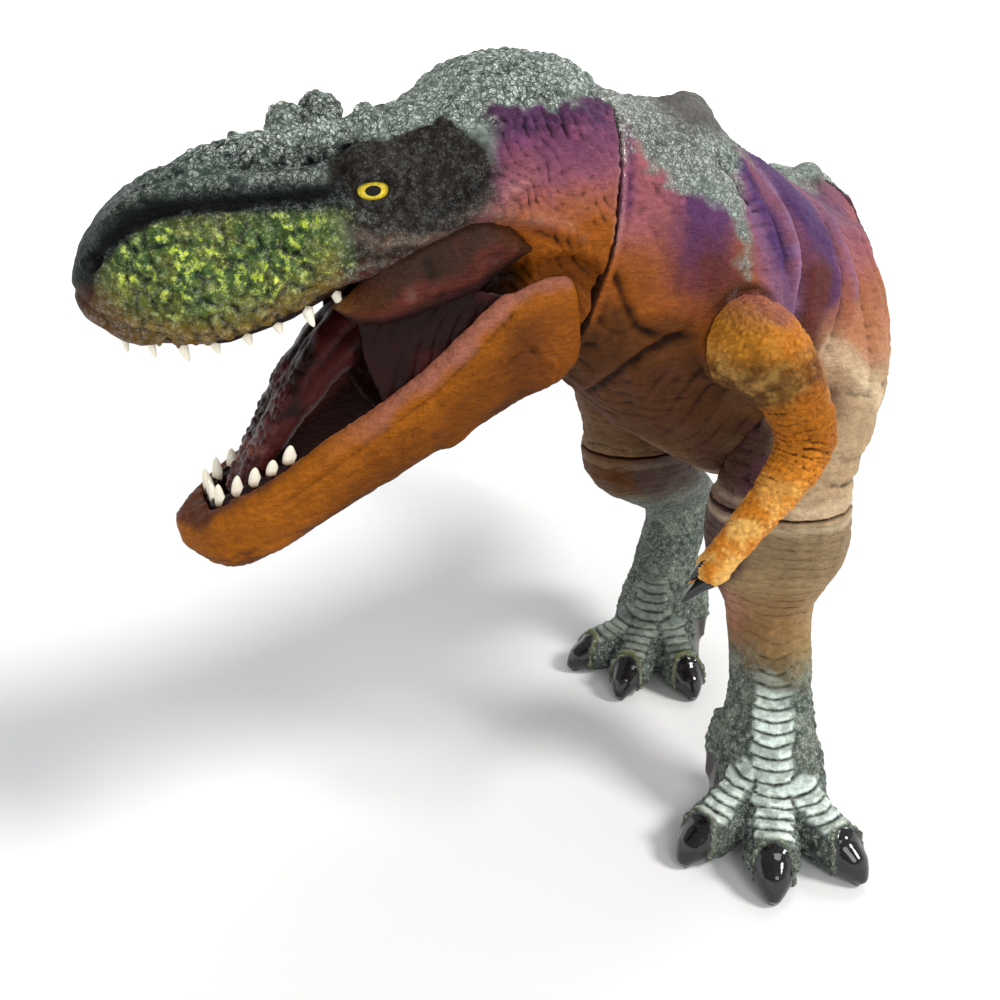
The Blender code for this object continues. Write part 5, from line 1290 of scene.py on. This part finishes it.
def makeTongue():
    tongue = Skin("tongue", 0.6)
    tongue.relax(14)
    local = toHead(tongue.points)
    side, forward, up = local.T
    top = soft(tongue.normals @ headTurn @ np.array((0, -0.45, 0.9)), 0.1, 0.6)
    height = -1.3 * bell(side, 1.8) * top * soft(forward, 60, 80)
    height += top * soft(forward, 76, 94) * 0.7 * (pebbles(local, 3.2, 171) - 0.4)
    below = soft(-(tongue.normals @ headTurn @ np.array((0, -0.45, 0.9))), 0.0, 0.5)
    height += 5.5 * below * bell(forward - 66, 18)
    height += 0.6 * noise(local, 8, 172, 3) + 0.4 * wrinkles(forward - 0.5 * up, local, 5.0, 173) * (1 - top)
    tongue.raisePoints(height)
    colour = np.tile(paints["mouthDark"], (len(local), 1))
    colour = over(colour, "mouthRed", soft(noise(local, 8, 174, 2), -0.3, 0.5) * 0.8)
    colour = over(colour, "rim", top * soft(forward, 88, 104)
                  * soft(noise(local, 3, 175, 2), 0.0, 0.6) * 0.35)
    tongue.finish(wet, colour, "jaw", "mouth_skin", shine=0.25 + 0.6 * top * soft(forward, 84, 98))


def makeLining():
    lining = Skin("mouth_lining", 0.6)
    lining.relax(5)
    local = toHead(lining.points)
    side, forward, up = local.T
    height = 0.7 * wrinkles(forward + 0.5 * up, local, 5.5, 181) + 0.5 * noise(local, 7, 182, 3)
    height = height * soft(28.5 - np.abs(side), 0, 0.8)
    lining.raisePoints(height)
    colour = np.tile(paints["mouthDark"], (len(local), 1))
    colour = over(colour, "mouthRed", soft(noise(local, 14, 183, 2), -0.3, 0.6) * 0.6)
    # Painted shade: darker towards the floor of the mouth
    colour = over(colour, "mouthDark", soft(-up, 20, 50) * 0.8)
    lining.finish(wet, colour, "jaw", "mouth_skin", shine=0.25)


def makePalate():
    palate = Skin("palate", 0.6)
    palate.relax(3)
    local = toHead(palate.points)
    side, forward, up = local.T
    below = soft(-(palate.normals @ headTurn)[:, 2], 0.2, 0.7)
    height = 0.9 * below * wrinkles(forward + 0.02 * side ** 2, local, 7.0, 191, 0.25)
    height -= 0.9 * below * bell(side, 1.6)
    palate.raisePoints(height)
    colour = np.tile(paints["mouthDark"], (len(local), 1))
    colour = over(colour, "mouthRed", soft(noise(local, 9, 192, 2), -0.2, 0.5) * 0.6)
    palate.finish(wet, colour, "head", "mouth_skin", shine=0.5)


print("mouth")
makeTongue()
makeLining()
makePalate()


cheekSettings = {"start": 8.0, "end": 72.0, "thick": 2.0, "topLap": 9.0}
cheekEdge = np.array(((8, 6), (12, 4.5), (16, 3.0), (20, 1.0), (27, -2.5), (35, -4.5), (42, -6), (50, -7.5),
                      (58, -8.5), (66, -6.8), (72, -0.9)))
cheekSide = np.array(((8, 34.6), (13, 35.6), (20, 36.2), (27, 36.1), (40, 34.9), (55, 33.6), (66, 32.6),
                      (76, 31.4)))


def makeCheek(name, mirror):
    # A closed sheet below the lip: an oval section from the lip down to the free edge,
    # carried along the mouth
    forward, turn = np.meshgrid(np.linspace(cheekSettings["start"], cheekSettings["end"], 110),
                                np.linspace(0, 2 * math.pi, 44, endpoint=False), indexing="ij")
    taper = soft(cheekSettings["end"] - forward, 0, 20)
    top = np.interp(forward, lipRows[:, 0], lipRows[:, 1]) + cheekSettings["topLap"] * (0.1 + 0.9 * taper)
    low = np.interp(forward, cheekEdge[:, 0], cheekEdge[:, 1])
    side = np.interp(forward, cheekSide[:, 0], cheekSide[:, 1])
    middle, tall = (top + low) / 2, (top - low) / 2
    up = middle + tall * np.sin(turn)
    down = np.clip((top - up) / (2 * tall), 0, 1)
    bulge = 0.9 * np.sin(down * math.pi) - 4.6 * (1 - down) ** 2 - 4.2 * down ** 2.5 - 2.5 * (1 - taper)
    side = side + bulge + cheekSettings["thick"] / 2 * np.sign(np.cos(turn)) * np.abs(np.cos(turn)) ** 0.5
    flat = np.stack([forward.ravel(), up.ravel(), 0 * up.ravel()], axis=1)
    ripple = 0.55 * wrinkles(flat[:, 1] + 0.16 * flat[:, 0], flat, 3.6, 201) + 0.5 * noise(flat, 7, 202, 3)
    side = side + ripple.reshape(side.shape) * (np.cos(turn) > -0.2)
    grid = fromHead(np.stack([side * mirror, forward, up], axis=-1))
    points, faces = gridPiece(grid)
    count = len(points)
    colour = np.tile(paints["maroon"], (count, 1))
    spread = noise(flat, 8, 203, 3)
    colour = over(colour, "cheekDark", soft(0.60 - down.ravel() + 0.2 * spread, 0, 0.3) * 0.9)
    colour = over(colour, "brown", soft(26 + 6 * spread - flat[:, 0], 0, 16) * 0.9)
    colour = over(colour, "brown", soft(flat[:, 0] + 6 * spread, 52, 66) * 0.7)
    colour = over(colour, "lipOchre", soft(flat[:, 0] + 6 * spread, 66, 72) * 0.2)
    colour = over(colour, "mouthDark", soft(down.ravel(), 0.72, 0.95))
    colour = over(colour, "mouthDark", (np.cos(turn.ravel()) < -0.1) * 1.0)
    # Painted highlight along a fold of the cheek sheet
    fold = bell(down.ravel() - 0.66 - 0.12 * spread, 0.07) * soft(noise(flat, 5, 204, 2), -0.1, 0.5)
    colour = over(colour, "cheekFoldHighlight", fold * soft(60 - flat[:, 0], 0, 12) * 0.4)
    numbers = {"paint": colour, "brush": np.zeros(count), "shine": np.full(count, 0.3),
               "speck": np.zeros(count), "washAndShade": np.clip(-ripple * 0.9, 0, 1), "edge": np.clip(ripple, 0, 1)}
    buildPiece(name + "_cheek_fold", [(points, faces)], skin, "head", (), numbers)


print("cheeks")
makeCheek("left", 1.0)
makeCheek("right", -1.0)

eyeSettings = {"ball": 7.5, "spot": eyeSpot - (1.7, 0, 0.3), "gaze": (0.97, 0.24, -0.06), "wide": 40.0,
               "tall": 19.0, "lidRim": 13.0, "lidFoot": 2.2}


def eyeFrame(mirror):
    # Gaze, forward and up directions of one eye in the head's frame
    gaze = np.array(eyeSettings["gaze"]) * (mirror, 1, 1)
    gaze = gaze / np.linalg.norm(gaze)
    upward = np.array((0, 0, 1.0)) - gaze * gaze[2]
    upward = upward / np.linalg.norm(upward)
    return gaze, np.cross(upward, gaze), upward


def onBall(mirror, polar, around, radius):
    # Point at an angle from the gaze and an angle about it, at a radius from the eye's centre
    gaze, across, upward = eyeFrame(mirror)
    centre = eyeSettings["spot"] * (mirror, 1, 1)
    ring = np.cos(around)[..., None] * across + np.sin(around)[..., None] * upward
    point = np.cos(polar)[..., None] * gaze + np.sin(polar)[..., None] * ring
    return fromHead(centre + radius[..., None] * point)


def makeEye(name, mirror):
    # The ball, with rings of latitude about the gaze; the iris is wider than tall
    polar, around = np.meshgrid(np.linspace(0.02, math.pi - 0.02, 40), np.linspace(0, 2 * math.pi, 48, False),
                                indexing="ij")
    grid = onBall(mirror, polar, around, np.full(polar.shape, eyeSettings["ball"]))
    wide, tall = math.radians(eyeSettings["wide"]), math.radians(eyeSettings["tall"] + 6)
    ring = polar * np.hypot(np.cos(around) / wide, np.sin(around) / tall)
    buildPiece(name + "_eye_ball", [gridPiece(grid)], eyePaint, "head", [name + "_eye"],
               {"ring": ring.ravel()})
    # The lids: a flat mound round an almond opening, from a closed oval section carried round the gaze
    loop = np.linspace(0, 2 * math.pi, 28, endpoint=False)
    turn = np.linspace(0, 2 * math.pi, 72, endpoint=False)
    around, section = np.meshgrid(turn, loop, indexing="ij")
    ball, rim = eyeSettings["ball"], eyeSettings["lidRim"]
    wide, tall = (ball * math.sin(math.radians(eyeSettings[key])) for key in ("wide", "tall"))
    opening = 1 / np.hypot(np.cos(around) / wide, np.sin(around) / tall)
    share = (1 - np.cos(section)) / 2
    reach = opening + (rim - opening) * share
    edge = np.sqrt(ball ** 2 - opening ** 2) + 0.75
    height = edge + (0.7 + 0.7 * np.sin(around).clip(0, 1)) * np.sin(math.pi * share ** 0.6)
    height += (eyeSettings["lidFoot"] - edge) * share ** 1.6 + 0.55 * np.sin(section)
    height += 0.14 * np.sin(around * 9 + 4 * share) * soft(share, 0.1, 0.4)
    gaze, across, upward = eyeFrame(mirror)
    centre = eyeSettings["spot"] * (mirror, 1, 1)
    ring = np.cos(around)[..., None] * across + np.sin(around)[..., None] * upward
    grid = fromHead(centre + height[..., None] * gaze + reach[..., None] * ring)
    grid = np.concatenate([grid, grid[:1]], axis=0)
    points, faces = gridPiece(grid, caps=False)
    keep = len(points) - len(loop)
    faces = [[corner % keep for corner in face] for face in faces]
    lidColour = np.tile(paints["eyeBand"], (keep, 1))
    numbers = {"paint": lidColour, "brush": np.full(keep, 0.10), "shine": np.full(keep, 0.1),
               "speck": np.zeros(keep), "washAndShade": np.zeros(keep), "edge": np.zeros(keep)}
    buildPiece(name + "_eyelids", [(points[:keep], faces)], skin, "head", (), numbers)


print("eyes")
makeEye("left", 1.0)
makeEye("right", -1.0)


# Teeth: a gum tube on a horseshoe, and a rounded leaning peg at each place

def horseshoe(forwards, halves, count):
    # Evenly spaced places along an outline given on one side and mirrored at the front
    near = list(zip(halves, forwards))
    outline = np.array(near + [(-half, forward) for half, forward in reversed(near)])
    steps = np.linalg.norm(np.diff(outline, axis=0), axis=1)
    run = np.concatenate([[0], np.cumsum(steps)])
    even = np.linspace(0, run[-1], count)
    return np.stack([np.interp(even, run, outline[:, 0]), np.interp(even, run, outline[:, 1])], axis=1)


teethSettings = {
    "upper": {"forwards": (65.3, 85.2, 105.0, 121.0, 131.0), "halves": (24.8, 23.2, 20.8, 16.4, 8.1),
              "count": 34, "way": -1.0, "root": 1.9, "tall": 4.6, "body": "head", "seed": 3},
    "lower": {"forwards": (88.4, 93.9, 99.4, 105.0, 110.5, 116.0),
              "halves": (16.6, 15.6, 14.6, 13.1, 11.5, 9.4),
              "count": 26, "way": 1.0, "root": 2.35, "tall": 6.4, "body": "jaw", "seed": 8},
}


def makeTeeth(name):
    settings = teethSettings[name]
    way = settings["way"]
    path = horseshoe(settings["forwards"], settings["halves"], settings["count"])
    if way < 0:
        base = np.interp(path[:, 1], lipRows[:, 0], lipRows[:, 1]) + 1.0
        middle, tall = base + 4.6, 2.0
        foot = base + 3.0
    else:
        top = np.interp(path[:, 1], jawRows[:, 0], jawRows[:, 1])
        middle, tall = top - 2.6, 2.6
        foot = top
    direction = np.gradient(path, axis=0)
    direction /= np.linalg.norm(direction, axis=1)[:, None]
    across = np.stack([direction[:, 1], -direction[:, 0]], axis=1)
    # Gum: an oval section carried along the path, closing at both ends
    turn = np.linspace(0, 2 * math.pi, 16, endpoint=False)
    fine = 4
    steps = np.linspace(0, len(path) - 1, (len(path) - 1) * fine + 1)

    def along(values):
        return np.stack([np.interp(steps, np.arange(len(path)), column) for column in values.T], axis=1)

    centres = along(np.column_stack([path, middle]))
    sides = along(across)
    ends = np.clip(np.minimum(steps, steps[-1] - steps) * 1.5 + 0.15, 0, 1) ** 0.5
    swell = 1 + 0.16 * np.cos(steps * math.pi)
    wide = (2.0 * ends * swell)[:, None] * np.cos(turn)
    rise = (tall * ends)[:, None] * np.sin(turn)
    gum = np.stack([centres[:, :1] + sides[:, :1] * wide, centres[:, 1:2] + sides[:, 1:2] * wide,
                    centres[:, 2:] + rise], axis=-1)
    parts = [gridPiece(fromHead(gum))]
    gumCount = gum.shape[0] * gum.shape[1]
    colours = np.tile(paints["mouthDark"], (gumCount, 1))
    numbers = {"paint": colours, "shine": np.full(gumCount, 0.7), "washAndShade": np.zeros(gumCount)}
    buildPiece(name + "_gum", parts, wet, settings["body"], (), numbers)
    # Pegs: rings that narrow to a blunt tip and lean back and outward
    spots = np.arange(1, len(path) - 1, 2)
    level = np.linspace(0, 1, 12)
    turn = np.linspace(0, 2 * math.pi, 14, endpoint=False)
    vary = latticeValues(spots, spots * 3, spots * 7, settings["seed"])
    sizes = settings["tall"] * (1 + 0.22 * vary)
    if way < 0:  # the muzzle's lip hides most of the upper side teeth
        growth = np.interp(path[spots, 1], (64, 78, 84, 108, 117, 123), (1.2, 1.1, 0.35, 0.45, 1.2, 1.6))
        sizes = 2.6 + sizes * growth
    widths = settings["root"] * (1 + 0.12 * latticeValues(spots, spots * 5, spots * 11, settings["seed"]))
    profile = np.sqrt(np.clip(1 - level ** 2.4, 0.0, 1)) * (1 - 0.30 * level) + 0.015
    toothParts, roots = [], []
    for spot, size, width in zip(spots, sizes, widths):
        ring = width * profile
        centre = np.array((*path[spot], foot[spot])) + np.outer(level - 0.28, (0, 0, way * size))
        lean = np.outer(level ** 1.6, np.array((*(across[spot] * 0.2), 0.0))) * size
        lean[:, 1] -= level ** 2 * 0.16 * size
        ringCos, ringSin = np.outer(ring, np.cos(turn)), np.outer(ring, np.sin(turn))
        grid = centre[:, None, :] + lean[:, None, :] + np.stack([
            direction[spot, 0] * ringCos + across[spot, 0] * 0.8 * ringSin,
            direction[spot, 1] * ringCos + across[spot, 1] * 0.8 * ringSin,
            np.zeros((len(level), len(turn)))], axis=-1)
        toothParts.append(gridPiece(fromHead(grid)))
        roots.append(np.repeat(1 - level * 2.4, len(turn)))
    buildPiece(name + "_teeth_row", toothParts, tooth, settings["body"], [name + "_teeth"],
               {"root": np.clip(np.concatenate(roots), 0, 1)})


print("teeth")
makeTeeth("upper")
makeTeeth("lower")

for nodeName in ("jaw_pin", "neck_plug", "tail_plug", "left_shoulder_plug", "right_shoulder_plug",
                 "left_knee_plug", "right_knee_plug"):
    plugMesh = frame["nodes"][nodeName].data
    plugMesh.materials.clear()
    plugMesh.materials.append(plugPlastic)


# Floor, lights and camera

floorSettings = {"reach": 7.0, "flat": 1.3, "rise": 3.2, "colour": (0.88, 0.88, 0.88)}


def makeFloor():
    # A pale floor that turns up into a lit wall: height is a soft ramp of the distance
    radius, turn = np.meshgrid(np.linspace(0.02, floorSettings["reach"], 50),
                               np.linspace(0, 2 * math.pi, 64, endpoint=False), indexing="ij")
    height = floorSettings["rise"] * soft(radius, floorSettings["flat"], floorSettings["reach"] * 1.2)
    grid = np.stack([radius * np.cos(turn), radius * np.sin(turn), height], axis=-1)
    points, faces = gridPiece(grid, caps=False)
    faces = [face[::-1] for face in faces] + [list(range(grid.shape[1]))]
    mesh = bpy.data.meshes.new("studio_floor")
    mesh.from_pydata(points.tolist(), [], faces)
    storeNumbers(mesh, "glow", soft(radius.ravel(), floorSettings["flat"] * 0.6, floorSettings["flat"] * 2))
    mesh.shade_smooth()
    finish = Finish("pale_paper")
    glow = finish.attribute("glow")
    cloud = finish.noise(400.0, 2.0).ramp(0.3, 0.7) * 0.2
    colour = finish.mix(cloud, floorSettings["colour"], (0.86, 0.86, 0.86))
    light = finish.mix(glow, (0.0, 0.0, 0.0), (1.0, 1.0, 1.0))
    mesh.materials.append(finish.shine(Base_Color=colour, Roughness=0.8, Emission_Color=light,
                                       Emission_Strength=0.55))
    item = bpy.data.objects.new("studio_floor", mesh)
    bpy.context.scene.collection.objects.link(item)


cameraSettings = {"spot": (142.5, -400.5, 290.3), "turn": 33.0, "down": 22.5, "roll": -2.4, "lens": 35.08}


def makeCamera():
    turn, down, roll = (math.radians(cameraSettings[name]) for name in ("turn", "down", "roll"))
    ahead = Vector((-math.sin(turn) * math.cos(down), math.cos(turn) * math.cos(down), -math.sin(down)))
    right = Vector((math.cos(turn), math.sin(turn), 0))
    upward = right.cross(ahead)
    across = right * math.cos(roll) + upward * math.sin(roll)
    over90 = upward * math.cos(roll) - right * math.sin(roll)
    data = bpy.data.cameras.new("view")
    data.lens, data.sensor_width = cameraSettings["lens"], 36.0
    data.clip_start, data.clip_end = 0.01, 50.0
    data.dof.use_dof = False
    camera = bpy.data.objects.new("view", data)
    bpy.context.scene.collection.objects.link(camera)
    spot = Vector(np.array(cameraSettings["spot"]) * millimetre + ownOrigin)
    camera.matrix_world = Matrix.Translation(spot) @ Matrix((across, over90, -ahead)).transposed().to_4x4()
    bpy.context.scene.camera = camera


lightSettings = {  # direction or place in metres, spread in degrees or size in metres, strength and colour
    "sun": ("SUN", (0.80, 0.16, 1.0), 16.0, 2.35, (1.0, 0.99, 0.96)),
    "softbox": ("AREA", (1.0, -0.9, 1.3), 0.7, 7.0, (1.0, 1.0, 1.0)),
    "glint": ("AREA", (0.2, 0.9, 1.2), 0.5, 5.0, (1.0, 1.0, 1.0)),
}
worldSettings = {"colour": (0.93, 0.96, 1.0), "strength": 0.33}


def makeLights():
    for name, (kind, place, size, strength, tone) in lightSettings.items():
        data = bpy.data.lights.new(name, kind)
        data.energy, data.color = strength, tone
        if kind == "SUN":
            data.angle = math.radians(size)
        else:
            data.shape, data.size = "DISK", size
        light = bpy.data.objects.new(name, data)
        bpy.context.scene.collection.objects.link(light)
        light.location = place
        aim = Vector((0, 0, 0.17)) - Vector(place)
        light.rotation_mode = "QUATERNION"
        light.rotation_quaternion = aim.to_track_quat("-Z", "Y")
    world = bpy.data.worlds.new("studio")
    world.use_nodes = True
    world.node_tree.nodes["Background"].inputs[0].default_value = (*worldSettings["colour"], 1.0)
    world.node_tree.nodes["Background"].inputs[1].default_value = worldSettings["strength"]
    bpy.context.scene.world = world
    bpy.context.scene.view_settings.view_transform = "Standard"


print("studio")
makeFloor()
makeCamera()
makeLights()

bpy.context.view_layer.update()
